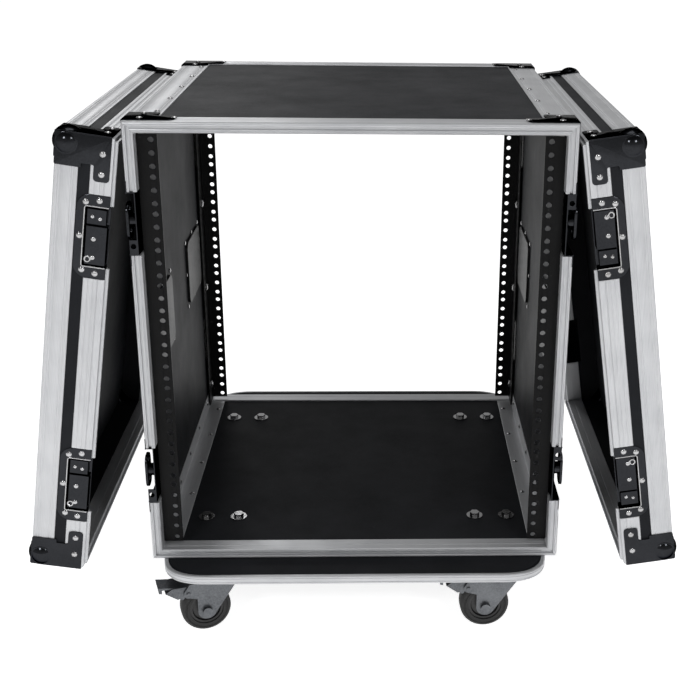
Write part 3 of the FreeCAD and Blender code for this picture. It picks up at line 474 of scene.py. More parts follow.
@dataclass(frozen=True)
class Finishes:
    """Every finish of the case."""

    # Extruded aluminium, anodised clear: fine die lines run along each length, so its
    # highlights stretch across them. The lines are drawn 0.7 mm apart to show. It counts
    # as 0.6 metal, where bare metal would be 1, so that it stays pale in dull surroundings.
    aluminium: Finish = Finish("anodised_aluminium", "#bdbec0", "#abacaf", 0.6, 0.4, 0.05, 0.7, 0.03)
    # Chrome on pressed steel, with faint press marks. Its colour and the tint of its glancing
    # reflection are toned far darker than real chrome: a painted dark reflection, as bright chrome shows in
    # a dark studio.
    chrome: Finish = Finish("chrome_plated_steel", "#303134", "#242527", 1.0, 0.12, 0.04, 1.6, 0.02,
                            edge="#2c2c2e")
    # Nickel-plated rivets and screws: bright, with a slightly softer sheen than chrome.
    nickel: Finish = Finish("nickel_plated_steel", "#b9b9bb", "#8d8c8a", 1.0, 0.2, 0.06, 0.8, 0.02)
    # Zinc-plated pressings of the castors: dull and cloudy, and toned darker than real zinc.
    zinc: Finish = Finish("zinc_plated_steel", "#6d6f72", "#525457", 1.0, 0.42, 0.1, 2.4, 0.05)
    # Plywood faced with black phenolic film, hot pressed: satin with a fine pebble. Its
    # mirror part is 0.03 where 0.5 is usual, because the glowing floor would grey it.
    laminate: Finish = Finish("film_faced_plywood", "#242528", "#1a1b1d", 0.0, 0.5, 0.06, 1.2, 0.04,
                              wear=0.06, sheen=0.03)
    # Black powder coat on steel: a low orange peel about 1.5 mm across. Its mirror part
    # is low for the same reason.
    powder: Finish = Finish("black_powder_coat", "#0c0c0d", "#070707", 0.0, 0.4, 0.07, 1.5, 0.05, wear=0.12,
                            sheen=0.1)
    # Moulded rubber tyre: matt, greyer where dust holds.
    rubber: Finish = Finish("moulded_rubber", "#101011", "#1b1b1a", 0.0, 0.68, 0.08, 1.1, 0.08)
    # Moulded glass-filled nylon wheel centre: a low, even sheen.
    nylon: Finish = Finish("moulded_nylon", "#161617", "#101010", 0.0, 0.42, 0.05, 0.9, 0.03)

    def drawn(self, grain: Grain) -> Finish:
        """Aluminium whose die lines run along one axis."""
        return replace(self.aluminium, grain=grain)


FINISHES = Finishes()


def dress(name: str, finish: Finish, edge_mm: float) -> None:
    """Give a node of the frame its finish and softened edges.

    Args:
        name: Node of the frame.
        finish: What it is made of.
        edge_mm: Width of the softening; none when it is zero.
    """
    made = FRAME["nodes"][name]
    made.data.materials.clear()
    made.data.materials.append(finish.material())
    if edge_mm:
        weld = made.modifiers.new("weld", "WELD")
        weld.merge_threshold = SAME_POINT_M
        bevel = made.modifiers.new("bevel", "BEVEL")
        bevel.width = edge_mm * MM
        bevel.segments = 2
        bevel.limit_method = "ANGLE"
        bevel.angle_limit = math.radians(EASED_DEG)
        bevel.harden_normals = False
    log.info("%s is dressed in %s", name, finish.name)


# ---- shared sizes ----

@dataclass(frozen=True)
class Sizes:
    """Sizes that several classes share, in millimetres. The outer ones are read from the frame."""

    half_w: float
    half_d: float
    bottom: float
    top: float
    skin: float = 1.5                # outer face of the edges, from the plywood
    ply: float = 9.0
    pressed: float = 1.2             # plates, dishes and keepers
    latch_from_end: float = 120.0    # latch pivot to the top or bottom of the body

    @classmethod
    def from_frame(cls) -> "Sizes":
        """Sizes of the body from the boxes of its opening frames."""
        low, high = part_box("frame_front")
        return cls(high.x / MM, -low.y / MM, low.z / MM, high.z / MM)

    @property
    def middle(self) -> float:
        """Height of the middle of the body."""
        return (self.bottom + self.top) / 2

    @property
    def half_h(self) -> float:
        """Half the height of the body."""
        return (self.top - self.bottom) / 2

    @property
    def ply_out(self) -> float:
        """Outer face of the side wall's plywood, from the middle."""
        return self.half_w - self.skin

    @property
    def ply_in(self) -> float:
        """Inner face of the side wall's plywood, from the middle."""
        return self.ply_out - self.ply

    @property
    def latch_rise(self) -> float:
        """Height of a latch above or below the middle of the body."""
        return self.half_h - self.latch_from_end


def joints_named(*words: str) -> Iterator[dict]:
    """Find joints by the body that they carry.

    Args:
        words: Starts of the names of bodies.

    Yields:
        Joints of the record whose child body starts with one of the words.
    """
    for joint in FRAME["joints"]:
        if joint["child"].startswith(words):
            yield joint


# ---- opening frames of the body and the lids ----

@dataclass
class OpeningFrame:
    """Four mitred extrusions round an opening, with gaps for the latches.

    The local frame has the mating plane at y = 0 and the body on its +Y side.
    """

    sizes: Sizes
    flange: float
    tongue: bool
    dish_half: float = 51.5
    pocket_half: float = 38.4
    mitre_gap: float = 0.12
    groove: tuple[float, float, float] = (4.3, 8.7, 3.8)
    tongue_shape: tuple[float, float, float] = (4.7, 8.3, 3.4)
    rib: float = 0.45
    rib_half: float = 0.35
    nose: float = 7.6

    def ribs(self, places: Sequence[float]) -> list[tuple[float, float]]:
        """Shallow grooves between the ribs of the mating face.

        Args:
            places: Middles of the grooves.

        Returns:
            Points of the profile.
        """
        points = []
        for at in places:
            points += [(at - self.rib_half, 0.0), (at, self.rib), (at + self.rib_half, 0.0)]
        return points

    def outer_profile(self) -> list[tuple[float, float]]:
        """Outer strip: a bevelled nose, a step and a ribbed flange.

        Returns:
            Points of its closed section, as distances inwards and from the mating plane.
        """
        nose = self.nose
        points = [(1.5, 0.25), (1.1, 0.4), (0.3, 2.4), (0.0, 3.4), (0.0, nose), (0.5, nose + 0.4),
                  (0.5, nose + 0.9), (0.05, nose + 1.3)]
        for at in range(14, int(self.flange) - 3, 6):
            points += [(0.05, at - 0.6), (0.42, at), (0.05, at + 0.6)]
        return points + [(0.05, self.flange - 0.7), (0.6, self.flange), (1.5, self.flange)]

    def inner_profile(self) -> list[tuple[float, float]]:
        """Ribbed mating face with its groove or tongue, and the inner lip.

        Returns:
            Points of its closed section, as distances inwards and from the mating plane.
        """
        if self.tongue:
            low, high, tall = self.tongue_shape
            middle = [(low, 0.0), (low + 0.2, 0.5 - tall), (low + 0.7, -tall), (high - 0.7, -tall),
                      (high - 0.2, 0.5 - tall), (high, 0.0)]
        else:
            low, high, deep = self.groove
            middle = [(low, 0.25), (low + 0.2, deep), (high - 0.2, deep), (high, 0.25)]
        start = [(1.5, 6.0), (1.5, 0.3), (2.0, 0.0)] + self.ribs([3.0])
        end = self.ribs([9.8, 11.0]) + [(11.8, 0.0), (13.0, 1.2), (13.0, 10.0), (12.6, 10.4), (13.0, 10.8)]
        lip = [(13.0, 24.3), (12.5, 25.0), (11.0, 25.0), (10.5, 24.4), (10.5, 6.0)]
        return start + middle + end + lip

    def corner(self, profile: Sequence[tuple[float, float]], side: int, end: int,
               upright: bool) -> list[Vector]:
        """Section of a member at a corner, on the mitre.

        Args:
            profile: Points of the section.
            side: Side of the opening, as a sign.
            end: Top or bottom of the opening, as a sign.
            upright: Whether the member stands upright.

        Returns:
            Points of the section in the local frame.
        """
        gap_x, gap_z = (0, end * self.mitre_gap) if upright else (side * self.mitre_gap, 0)
        return [Vector((side * (self.sizes.half_w - u) - gap_x, v, end * (self.sizes.half_h - u) - gap_z))
                for u, v in profile]

    def across(self, profile: Sequence[tuple[float, float]], side: int, z: float) -> list[Vector]:
        """Section of an upright member, square to it."""
        return [Vector((side * (self.sizes.half_w - u), v, z)) for u, v in profile]

    def upright(self, skin: Skin, at: Matrix, side: int) -> None:
        """Side member with its gaps at the latches.

        Args:
            skin: Mesh that gets the member.
            at: Where the opening stands.
            side: Side of the opening, as a sign.
        """
        latch = self.sizes.latch_rise
        for profile, gap in ((self.outer_profile(), self.dish_half),
                             (self.inner_profile(), self.pocket_half)):
            stops = [None, -latch - gap, -latch + gap, latch - gap, latch + gap, None]
            for low, high in zip(stops[::2], stops[1::2]):
                first = self.corner(profile, side, -1, True) if low is None else None
                last = self.corner(profile, side, 1, True) if high is None else None
                rows = [first or self.across(profile, side, low), last or self.across(profile, side, high)]
                skin.rows(rows, at)

    def level(self, skin: Skin, at: Matrix, end: int) -> None:
        """Top or bottom member.

        Args:
            skin: Mesh that gets the member.
            at: Where the opening stands.
            end: Top or bottom of the opening, as a sign.
        """
        for profile in (self.outer_profile(), self.inner_profile()):
            skin.rows([self.corner(profile, -1, end, False), self.corner(profile, 1, end, False)], at)

    def build(self, name: str, node_name: str, body: str, at: Matrix, levels: Grain) -> None:
        """Make both pairs of members and hand them over.

        Args:
            name: Start of the names of the pieces.
            node_name: Node that they stand for.
            body: Body that they ride on.
            at: Where the opening stands.
            levels: Grain of the top and bottom members.
        """
        uprights, crossings = Skin(), Skin()
        for sign in (-1, 1):
            self.upright(uprights, at, sign)
            self.level(crossings, at, sign)
        uprights.piece(f"{name}_uprights", body, FINISHES.drawn(Grain.ALONG_Z), "aluminium", [node_name])
        crossings.piece(f"{name}_levels", body, FINISHES.drawn(levels), "aluminium", [node_name])


# ---- rivets and bolts ----

@dataclass
class Fasteners:
    """Heads rebuilt where the solids of the frame's fastener nodes stand."""

    steps: int = 20

    def base(self, faces: Sequence[Sequence[Vector]]) -> tuple[Vector, Vector, float, float]:
        """Foot of a domed head.

        Args:
            faces: Corner points of its faces.

        Returns:
            Middle of its flat foot, direction that it points, radius and height.
        """
        groups: dict[tuple[int, int, int], list[tuple[float, Vector]]] = {}
        for points in faces:
            across = (points[1] - points[0]).cross(points[2] - points[0])
            if across.length < 1e-9:
                continue
            key = tuple(round(value * 50) for value in across.normalized())
            groups.setdefault(key, []).append((across.length / 2, sum(points, Vector()) / len(points)))
        key, flat = max(groups.items(), key=lambda item: sum(area for area, _ in item[1]))
        area = sum(share for share, _ in flat)
        middle = sum((centre * share for share, centre in flat), Vector()) / area
        away = -Vector(key).normalized()
        height = max((point - middle).dot(away) for points in faces for point in points)
        return middle, away, math.sqrt(area / math.pi), height

    def rivets(self, node_name: str, body: str) -> None:
        """Domed rivets with a thin rim, in place of a rivet node.

        Args:
            node_name: Node of the frame that holds the rivets.
            body: Body that they ride on.
        """
        skin = Skin()
        for faces in solids_of(node_name):
            middle, away, radius, height = self.base(faces)
            profile = [(radius * 0.96, 0.0), (radius, height * 0.14), (radius * 0.97, height * 0.24)]
            for step in range(7):
                angle = math.radians(12 + 78 * step / 6)
                profile.append((radius * 0.93 * math.cos(angle), height * (0.1 + 0.9 * math.sin(angle))))
            skin.lathe(profile, place(middle, axis_turn(away)), self.steps)
        skin.piece(f"{node_name}_heads", body, FINISHES.nickel, "fasteners", [node_name])


# ---- extruded edges ----

@dataclass
class EdgeAngle:
    """Ribbed aluminium angle, as a section from its outer corner.

    Points are (u, w): u runs inwards over one face and w over the other.
    """

    leg_u: float
    leg_w: float
    thickness: float = 1.5
    corner: float = 2.0
    groove: float = 0.35
    groove_half: float = 0.6
    grooves_in: tuple[float, ...] = (5.0, 7.5)

    def along(self, leg: float) -> list[float]:
        """Places of the grooves over one leg, near its corner and near its edge."""
        return list(self.grooves_in) + [leg - at for at in reversed(self.grooves_in)]

    def section(self) -> list[tuple[float, float]]:
        """Outline of the angle, with its rounded corner and its grooves.

        Returns:
            Points of the closed outline.
        """
        half, deep, t = self.groove_half, self.groove, self.thickness
        points = [(self.leg_u, t), (self.leg_u, 0.4), (self.leg_u - 0.4, 0.0)]
        for at in reversed(self.along(self.leg_u)):
            points += [(at + half, 0.0), (at, deep), (at - half, 0.0)]
        for step in range(5):
            angle = math.pi / 2 * (1 + step / 4)
            points.append((self.corner * (1 + math.cos(angle)), self.corner * (1 - math.sin(angle))))
        for at in self.along(self.leg_w):
            points += [(0.0, at - half), (deep, at), (0.0, at + half)]
        return points + [(0.0, self.leg_w - 0.4), (0.4, self.leg_w), (t, self.leg_w), (t, t)]


@dataclass
class BodyEdges:
    """Angles along the four long edges of the body, and the braces over its corners."""

    sizes: Sizes
    leg: float = 38.0
    flange: float = 32.0
    brace_back: float = 8.0
    brace_long: float = 60.0
    brace_wide: float = 26.0
    brace_deep: float = 49.0
    brace_round: float = 7.0

    def angles(self) -> None:
        """Ribbed angles between the front and rear flanges."""
        skin = Skin()
        stop = self.sizes.half_d - self.flange
        section = EdgeAngle(self.leg, self.leg).section()
        for side in (-1, 1):
            for z, down in ((self.sizes.top, -1), (self.sizes.bottom, 1)):
                rows = [[Vector((side * (self.sizes.half_w - u), y, z + down * w)) for u, w in section]
                        for y in (-stop, stop)]
                skin.rows(rows)
        skin.piece("edge_angle_bars", "case", FINISHES.drawn(Grain.ALONG_Y), "aluminium", ["edge_angles"])

    def outline(self) -> list[Vector]:
        """L-shaped face of a brace, from its folded edge and its near edge.

        Returns:
            Points of the closed outline.
        """
        long, wide, deep = self.brace_long, self.brace_wide, self.brace_deep
        points = [(0, 0), (long, 0), (long, wide), (self.leg, wide), (self.leg, deep), (0, deep)]
        soft = self.brace_round
        return filleted(points, (0.0, soft, soft, 3.0, soft, 0.0))

    def braces(self) -> None:
        """Folded plates over the eight corners."""
        skin = Skin()
        shape, t = self.outline(), self.sizes.pressed
        near = self.sizes.half_d - self.brace_back
        for side in (-1, 1):
            for end in (-1, 1):
                corner_x = side * (self.sizes.half_w + t)
                flat = Matrix(((-side, 0, 0, corner_x), (0, -end, 0, end * near), (0, 0, 1, self.sizes.top),
                               (0, 0, 0, 1)))
                skin.plate(shape, t, flat)
                for z, down in ((self.sizes.top + t, -1), (self.sizes.bottom, 1)):
                    upright = Matrix(((0, 0, side, side * self.sizes.half_w), (0, -end, 0, end * near),
                                      (down, 0, 0, z), (0, 0, 0, 1)))
                    skin.plate(shape, t, upright)
        skin.piece("corner_brace_plates", "case", FINISHES.chrome, "chrome", ["corner_braces"])

    def build(self) -> None:
        """Make the angles and the braces."""
        self.angles()
        self.braces()


# ---- lids ----

@dataclass(frozen=True)
class Lid:
    """One lid: its rim, edging, ball corners and latch keepers.

    It is made as if it closed the front, with its rim plane at y = 0 and its outer
    face at -Y, then turned to where it leans.
    """

    side: str
    sizes: Sizes
    lean: float = 8.5
    rim_x: float = 311.35
    rim_y: float = 6.5
    rim_z: float = 366.88
    flange: float = 25.4
    depth: float = 67.0
    edging_side: float = 27.6
    edging_face: float = 30.0
    corner_cut: float = 16.0
    ball_r: float = 18.45
    ball_in: float = 12.5
    ball_floor: float = 1.0
    rim_gap: float = 3.0
    pocket: float = 29.0
    collar: tuple[tuple[float, float], ...] = (
        (11.0, 0.2), (17.2, 0.2), (15.5, 0.45), (14.2, 0.85), (13.1, 1.35), (12.1, 1.75), (11.0, 1.75))
    # Ring of a catch: distance out of the keeper, depth and height.
    catch: tuple[float, float, float] = (7.0, -22.5, -28.0)
    # Rivets of a keeper: distance out of the keeper, depth, height and radius.
    keeper_dots: tuple[tuple[float, float, float, float], ...] = (
        (7.0, -17.0, -26.0, 3.0), (7.0, -17.0, -3.0, 3.0), (6.5, -11.0, 22.0, 2.4),
        (6.5, -20.0, 24.0, 2.4))

    @property
    def sign(self) -> int:
        """Side of the case, as a sign."""
        return -1 if self.side == "left" else 1

    @property
    def body(self) -> str:
        """Body that the lid's pieces ride on."""
        return f"lid_{self.side}"

    def place(self) -> Matrix:
        """Matrix from the closed lid's frame to where it leans."""
        turn = spin(-self.sign * self.lean, "Y") @ spin(self.sign * 90, "Z")
        return place(Vector((self.sign * self.rim_x, self.rim_y, self.rim_z)), turn)

    def rim(self) -> None:
        """Tongued frame round the opening."""
        frame = OpeningFrame(self.sizes, self.flange, tongue=True)
        flip = Matrix.Scale(-1, 4, Vector((0, 1, 0)))
        frame.build(f"lid_rim_{self.side}", f"lid_rim_{self.side}", self.body, self.place() @ flip,
                    Grain.ALONG_Y)

    def edging(self) -> None:
        """Ribbed angles round the outer edge, between the ball corners."""
        uprights, levels = Skin(), Skin()
        section = EdgeAngle(self.edging_face, self.edging_side).section()
        w, h, cut = self.sizes.half_w, self.sizes.half_h, self.corner_cut
        for sign in (-1, 1):
            rows = [[Vector((sign * (w - u), deep - self.depth, end * (h - max(u, cut))))
                     for u, deep in section] for end in (-1, 1)]
            uprights.rows(rows, self.place())
            rows = [[Vector((end * (w - max(u, cut)), deep - self.depth, sign * (h - u)))
                     for u, deep in section] for end in (-1, 1)]
            levels.rows(rows, self.place())
        name = f"lid_edging_{self.side}"
        uprights.piece(f"{name}_uprights", self.body, FINISHES.drawn(Grain.ALONG_Z), "aluminium", [name])
        levels.piece(f"{name}_levels", self.body, FINISHES.drawn(Grain.ALONG_Y), "aluminium", [name])

    def ball(self, skin: Skin, at: Matrix) -> None:
        """Ball of a corner, flattened just under the lid's faces, with a collar on each face.

        The local frame has the corner of the lid at its origin and the lid on the
        negative side of all three axes.

        Args:
            skin: Mesh that gets the ball.
            at: Where the corner's frame stands.
        """
        r, inward, steps = self.ball_r, self.ball_in, 40
        rows = []
        for level in range(steps // 2 + 1):
            polar = math.pi * level / (steps // 2)
            row = []
            for turn in circle(steps):
                point = Vector((math.sin(polar) * math.cos(turn), math.sin(polar) * math.sin(turn),
                                math.cos(polar))) * r - Vector((inward, inward, inward))
                shallow = max(range(3), key=lambda axis: point[axis])
                point[shallow] = max(point[shallow], -self.ball_floor)
                row.append(point)
            rows.append(row)
        skin.rows(rows, at, caps=False)
        for turn in (Matrix.Identity(4), Matrix(((0, 0, 1, 0), (1, 0, 0, 0), (0, 1, 0, 0), (0, 0, 0, 1))),
                     Matrix(((0, 1, 0, 0), (0, 0, 1, 0), (1, 0, 0, 0), (0, 0, 0, 1)))):
            rows = []
            for radius, height in self.collar:
                ring = [(radius * math.cos(angle) - inward, radius * math.sin(angle) - inward)
                        for angle in circle(steps)]
                # A collar stops at the edges of the lid.
                rows.append([Vector((min(x, 0), min(y, 0), height)) for x, y in ring])
            skin.rows(rows, at @ turn, wrap=True)

    def plates(self, skin: Skin, at: Matrix) -> None:
        """Plates of a corner: an L on each side wall and a short one on the outer face.

        Args:
            skin: Mesh that gets the plates.
            at: Where the corner's frame stands.
        """
        deep, t, rim = self.depth, self.sizes.pressed, self.rim_gap
        # Side of the short plate, then widths along the wall: at the outer face, past it, by the rim.
        short, near, neck, foot = 31, 39, 34, 53
        flare = deep - 21.5
        points = [(0, 0), (0, near), (short, near), (short, neck), (flare, neck), (flare, foot),
                  (deep - rim, foot), (deep - rim, 0)]
        wall = filleted(points, (0, 2.5, 1.5, 1.5, 2.5, 5, 5, 0))
        # Local (across, down) of the wall outlines to the corner's axes.
        on_x = Matrix(((0, 0, 1, 0), (-1, 0, 0, 0), (0, -1, 0, 0), (0, 0, 0, 1)))
        on_z = Matrix(((0, -1, 0, 0), (-1, 0, 0, 0), (0, 0, 1, 0), (0, 0, 0, 1)))
        for turn in (on_x, on_z):
            skin.plate(wall, t, at @ turn)
        face = filleted([(0, 0), (short, 0), (short, short), (0, short)], (0, 3, 9, 3))
        on_y = Matrix(((-1, 0, 0, 0), (0, 0, 1, 0), (0, -1, 0, 0), (0, 0, 0, 1)))
        skin.plate(face, t, at @ on_y)
        fold = [Vector((0.1, -y, 0.1)) for y in (12, deep - rim)]
        skin.tube(fold, t * 0.92, at)

    def corners(self) -> None:
        """Four ball corners with their plates."""
        skin = Skin()
        for x in (-1, 1):
            for z in (-1, 1):
                # The corner frame's Y points out of the outer face.
                at = Matrix(((x, 0, 0, x * self.sizes.half_w), (0, -1, 0, -self.depth),
                             (0, 0, z, z * self.sizes.half_h), (0, 0, 0, 1)))
                self.ball(skin, self.place() @ at)
                self.plates(skin, self.place() @ at)
        skin.piece(f"lid_corners_{self.side}_shells", self.body, FINISHES.chrome, "chrome",
                   [f"lid_corners_{self.side}"])

    def keeper_rivets(self) -> None:
        """Rivets of the keeper plates and brackets, and the ring of each catch."""
        skin = Skin()
        back, latch = self.sizes.ply_in + self.sizes.pressed, self.sizes.latch_rise
        ring = [(2.2, -0.2), (2.2, 1.0), (2.8, 1.5), (3.8, 1.5), (4.4, 0.9), (4.4, -0.2)]
        for x in (-1, 1):
            for z in (-latch, latch):
                turn = spin(0 if x > 0 else 180, "Y")
                at = self.place() @ place(Vector((0, 0, z)), turn)
                for out, y, height, radius in self.keeper_dots:
                    dome = [(radius, -0.3), (radius, 0.4), (radius * 0.8, 1.0), (radius * 0.4, 1.4),
                            (0, 1.5)]
                    skin.lathe(dome, at @ place(Vector((back + out, y, height)), spin(90, "Y")), 20)
                out, y, height = self.catch
                skin.lathe(ring, at @ place(Vector((back + out, y, height)), spin(90, "Y")), 24,
                           closed=True)
        skin.piece(f"lid_keeper_rivets_{self.side}", self.body, FINISHES.nickel, "fasteners")

    def keeper_rim_highlights(self) -> None:
        """Rolled rims of the keeper pockets, in bright nickel where the keepers are dark chrome: a painted
        highlight along their edges.
        """
        skin, rim = Skin(), PocketRim()
        face, latch = self.sizes.ply_out + self.sizes.pressed, self.sizes.latch_rise
        for x in (-1, 1):
            for z in (-latch, latch):
                path = [Vector((x * face, -p.x, z + p.y)) for p in rim.path(self.pocket)]
                skin.tube(path, rim.roll, self.place())
        # Bright nickel on the rim of a chrome keeper is a painted highlight.
        skin.piece(f"lid_keeper_rim_highlights_{self.side}", self.body, FINISHES.nickel, "chrome")

    def build(self) -> None:
        """Make every visible piece of the lid."""
        dress(f"lid_board_{self.side}", FINISHES.laminate, 0.3)
        dress(f"lid_walls_{self.side}", FINISHES.laminate, 0.3)
        dress(f"lid_keepers_{self.side}", FINISHES.chrome, 0.4)
        Fasteners().rivets(f"lid_rivets_{self.side}", self.body)
        self.keeper_rim_highlights()
        self.rim()
        self.edging()
        self.corners()
        self.keeper_rivets()


# ---- rails ----

@dataclass
class Rails:
    """Rack rails, the rims of their holes and the bolts that hold them."""

    unit: float = 44.45
    offsets: tuple[float, float, float] = (6.35, 22.225, 38.1)
    hole_r: float = 3.3
    rim_r: float = 3.9
    hole_x: float = 232.55
    thick: float = 2.0
    clear: float = 0.02

    def rims(self) -> None:
        """Thin rims pressed round every rack hole, on both faces of a rail."""
        skin = Skin()
        low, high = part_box("rack_rails")
        inner = self.hole_r + self.clear
        rim = [(inner, 0.0), (inner, 0.3), (self.rim_r - 0.3, 0.3), (self.rim_r, 0.0)]
        count = round((high.z - low.z) / MM / self.unit)
        for unit in range(count):
            for offset in self.offsets:
                z = low.z / MM + unit * self.unit + offset
                for x in (-self.hole_x, self.hole_x):
                    for end, y in ((-1, low.y / MM), (1, high.y / MM)):
                        for out in (-1, 1):
                            face = y - end * (self.thick if out != end else 0)
                            at = place(Vector((x, face, z)), axis_turn(Vector((0, out, 0))))
                            skin.lathe(rim, at, 16, closed=True)
        skin.piece("rack_hole_rims", "case", FINISHES.chrome, "fasteners")

    def bolts(self) -> None:
        """Domed bolts with a round recess, one at each bolt of the frame."""
        skin = Skin()
        for faces in solids_of("rail_bolts"):
            points = [point for face in faces for point in face]
            low = Vector(tuple(min(point[axis] for point in points) for axis in range(3)))
            high = Vector(tuple(max(point[axis] for point in points) for axis in range(3)))
            side = 1 if low.x > 0 else -1
            inner, outer = (low.x, high.x) if side > 0 else (high.x, low.x)
            radius = (high.y - low.y) / 2
            at = place(Vector((inner, (low.y + high.y) / 2, (low.z + high.z) / 2)),
                       axis_turn(Vector((-side, 0, 0))))
            deep = abs(outer - inner)
            skin.lathe([(0, -0.9), (1.4, -0.9), (2.0, -0.2), (3.6, -0.3), (5.4, -1.2), (radius, -2.6),
                        (radius, -3.2), (3.0, -3.2), (3.0, -deep), (0, -deep)], at, 24)
        skin.piece("rail_bolt_heads", "case", FINISHES.nickel, "fasteners", ["rail_bolts"])

    def build(self) -> None:
        """Dress the rails, and make their rims and bolts."""
        dress("rack_rails", FINISHES.powder, 0.3)
        self.rims()
        self.bolts()


# ---- body shell ----

@dataclass
class Body:
    """Plywood panels, inner angles and the two opening frames of the body."""

    sizes: Sizes
    flange: float = 32.0

    def panels(self) -> None:
        """Film-faced panels, and the folded angles in their inner corners."""
        for place_name in ("left", "right", "top", "bottom"):
            dress(f"panel_{place_name}", FINISHES.laminate, 0.0)
        dress("inner_angles", FINISHES.drawn(Grain.ALONG_Y), 0.4)

    def frames(self) -> None:
        """Grooved frame round each opening."""
        opening = OpeningFrame(self.sizes, self.flange, tongue=False)
        front = place(Vector((0, -self.sizes.half_d, self.sizes.middle)))
        opening.build("frame_front", "frame_front", "case", front, Grain.ALONG_X)
        mirror = Matrix.Scale(-1, 4, Vector((0, 1, 0)))
        opening.build("frame_rear", "frame_rear", "case", mirror @ front, Grain.ALONG_X)

    def build(self) -> None:
        """Make the shell and its rivets."""
        self.panels()
        self.frames()
        Fasteners().rivets("body_rivets", "case")


# ---- latches and handles ----

@dataclass(frozen=True)
class PocketRim:
    """Rolled edge round the open pocket of a pressed latch dish or keeper."""

    height: float = 74.0
    roll: float = 0.8
    corner: float = 3.0

    def path(self, deep: float) -> list[Vector]:
        """U-shaped path in the plane of the face, from one end of the opening to the other.

        Args:
            deep: Distance from the opening plane to the end of the pocket.

        Returns:
            Points whose X runs away from the opening and whose Y runs up.
        """
        half = self.height / 2
        points = [(1.0, half), (deep, half), (deep, -half), (1.0, -half)]
        return filleted(points, (0.0, self.corner, self.corner, 0.0))


@dataclass
class Latches:
    """Eight recessed butterfly latches, with their dishes in the body."""

    sizes: Sizes
    pocket: float = 54.5
    head_r: float = 6.0

    def dishes(self) -> None:
        """Pressed dishes and the rolled rims of their pockets."""
        dress("latch_dishes", FINISHES.chrome, 0.4)
        skin, rim = Skin(), PocketRim()
        face, from_end = self.sizes.ply_out + self.sizes.pressed, self.sizes.latch_from_end
        for side in (-1, 1):
            for end in (-1, 1):
                for z in (self.sizes.bottom + from_end, self.sizes.top - from_end):
                    path = [Vector((side * face, end * (self.sizes.half_d - p.x), z + p.y))
                            for p in rim.path(self.pocket)]
                    skin.tube(path, rim.roll)
        skin.piece("latch_dish_rims", "case", FINISHES.chrome, "chrome")

    def wings(self) -> None:
        """Finger wings, each with the domed head of its pivot."""
        for joint in joints_named("latch_"):
            name = joint["child"]
            dress(name, FINISHES.chrome, 0.5)
            pivot = Vector(joint["pos_m"]) / MM
            low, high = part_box(name)
            side = 1 if pivot.x > 0 else -1
            pivot.x = (high.x if side > 0 else low.x) / MM
            r = self.head_r
            dome = [(r, -0.3), (r, 0.3), (r * 0.9, 0.9), (r * 0.6, 1.4), (r * 0.42, 1.5),
                    (r * 0.34, 1.0), (0, 1.0)]
            skin = Skin()
            skin.lathe(dome, place(pivot, axis_turn(Vector((side, 0, 0)))), 28)
            skin.piece(f"{name}_pivot_head", name, FINISHES.nickel, "fasteners")

    def build(self) -> None:
        """Make the dishes and the wings."""
        self.dishes()
        self.wings()


@dataclass
class SideHandles:
    """Four sprung bail handles in their trays."""

    sizes: Sizes
    drop: float = 46.0
    half_span: float = 43.5
    pin_reach: float = 56.5
    bail_r: float = 3.6
    eye_half: float = 4.4
    eye_wall: float = 0.9
    pin_r: float = 2.5
    sleeve_r: float = 5.1
    sleeve_half: float = 30.0
    bend: float = 9.0
    tails_y: float = 59.5
    tails_z: float = 48.5
    pivot_up: float = 24.0

    def bail(self, name: str, pivot: Vector) -> None:
        """Bent bail with its pins, and the rubber sleeve on its bar.

        Args:
            name: Body of the handle.
            pivot: Middle of its pivot axis, in millimetres.
        """
        bail, sleeve = Skin(), Skin()
        half, low = self.half_span, -self.drop
        bent = filleted([(-half, 0), (-half, low), (half, low), (half, 0)], (0, self.bend, self.bend, 0))
        bail.tube([pivot + Vector((0, p.x, p.y)) for p in bent], self.bail_r)
        for sign in (-1, 1):
            pin = [pivot + Vector((0, sign * reach, 0)) for reach in (half - 2, self.pin_reach)]
            bail.tube(pin, self.pin_r)
            eye = [pivot + Vector((0, sign * reach, 0))
                   for reach in (half - self.eye_half, half + self.eye_half)]
            bail.tube(eye, self.bail_r + self.eye_wall)
        long, r = self.sleeve_half, self.sleeve_r
        profile = [(self.bail_r, -long), (r - 0.8, -long), (r, -long + 1.0)]
        for step in range(-3, 4):
            at = step * long / 4.5
            profile += [(r, at - 1.2), (r - 0.4, at - 0.6), (r - 0.4, at + 0.6), (r, at + 1.2)]
        profile += [(r, long - 1.0), (r - 0.8, long), (self.bail_r, long)]
        bar = place(pivot + Vector((0, 0, low)), axis_turn(Vector((0, 1, 0))))
        sleeve.lathe(profile, bar, 28, closed=True)
        bail.piece(f"{name}_bail", name, FINISHES.chrome, "chrome", [name])
        sleeve.piece(f"{name}_sleeve", name, FINISHES.rubber, "grip")

    def tails(self, skin: Skin, pivot: Vector) -> None:
        """Upset tails of the tray's rivets on the inside of the wall.

        Args:
            skin: Mesh that gets the tails.
            pivot: Middle of the handle's pivot axis, in millimetres.
        """
        side = 1 if pivot.x > 0 else -1
        wall = side * self.sizes.ply_in
        dome = [(3.4, -0.2), (3.4, 0.5), (2.9, 1.2), (1.8, 1.7), (0, 1.8)]
        for across in (-1, 0, 1):
            for up in (-1, 0, 1):
                if across or up:
                    foot = Vector((wall, pivot.y + across * self.tails_y,
                                   pivot.z - self.pivot_up + up * self.tails_z))
                    skin.lathe(dome, place(foot, axis_turn(Vector((-side, 0, 0)))), 18)

    def build(self) -> None:
        """Make the trays, bails and rivet tails."""
        dress("handle_dishes", FINISHES.powder, 0.5)
        skin = Skin()
        for joint in joints_named("grip_"):
            pivot = Vector(joint["pos_m"]) / MM
            self.bail(joint["child"], pivot)
            self.tails(skin, pivot)
        skin.piece("handle_rivet_tails", "case", FINISHES.nickel, "fasteners")


# ---- castor board and castors ----

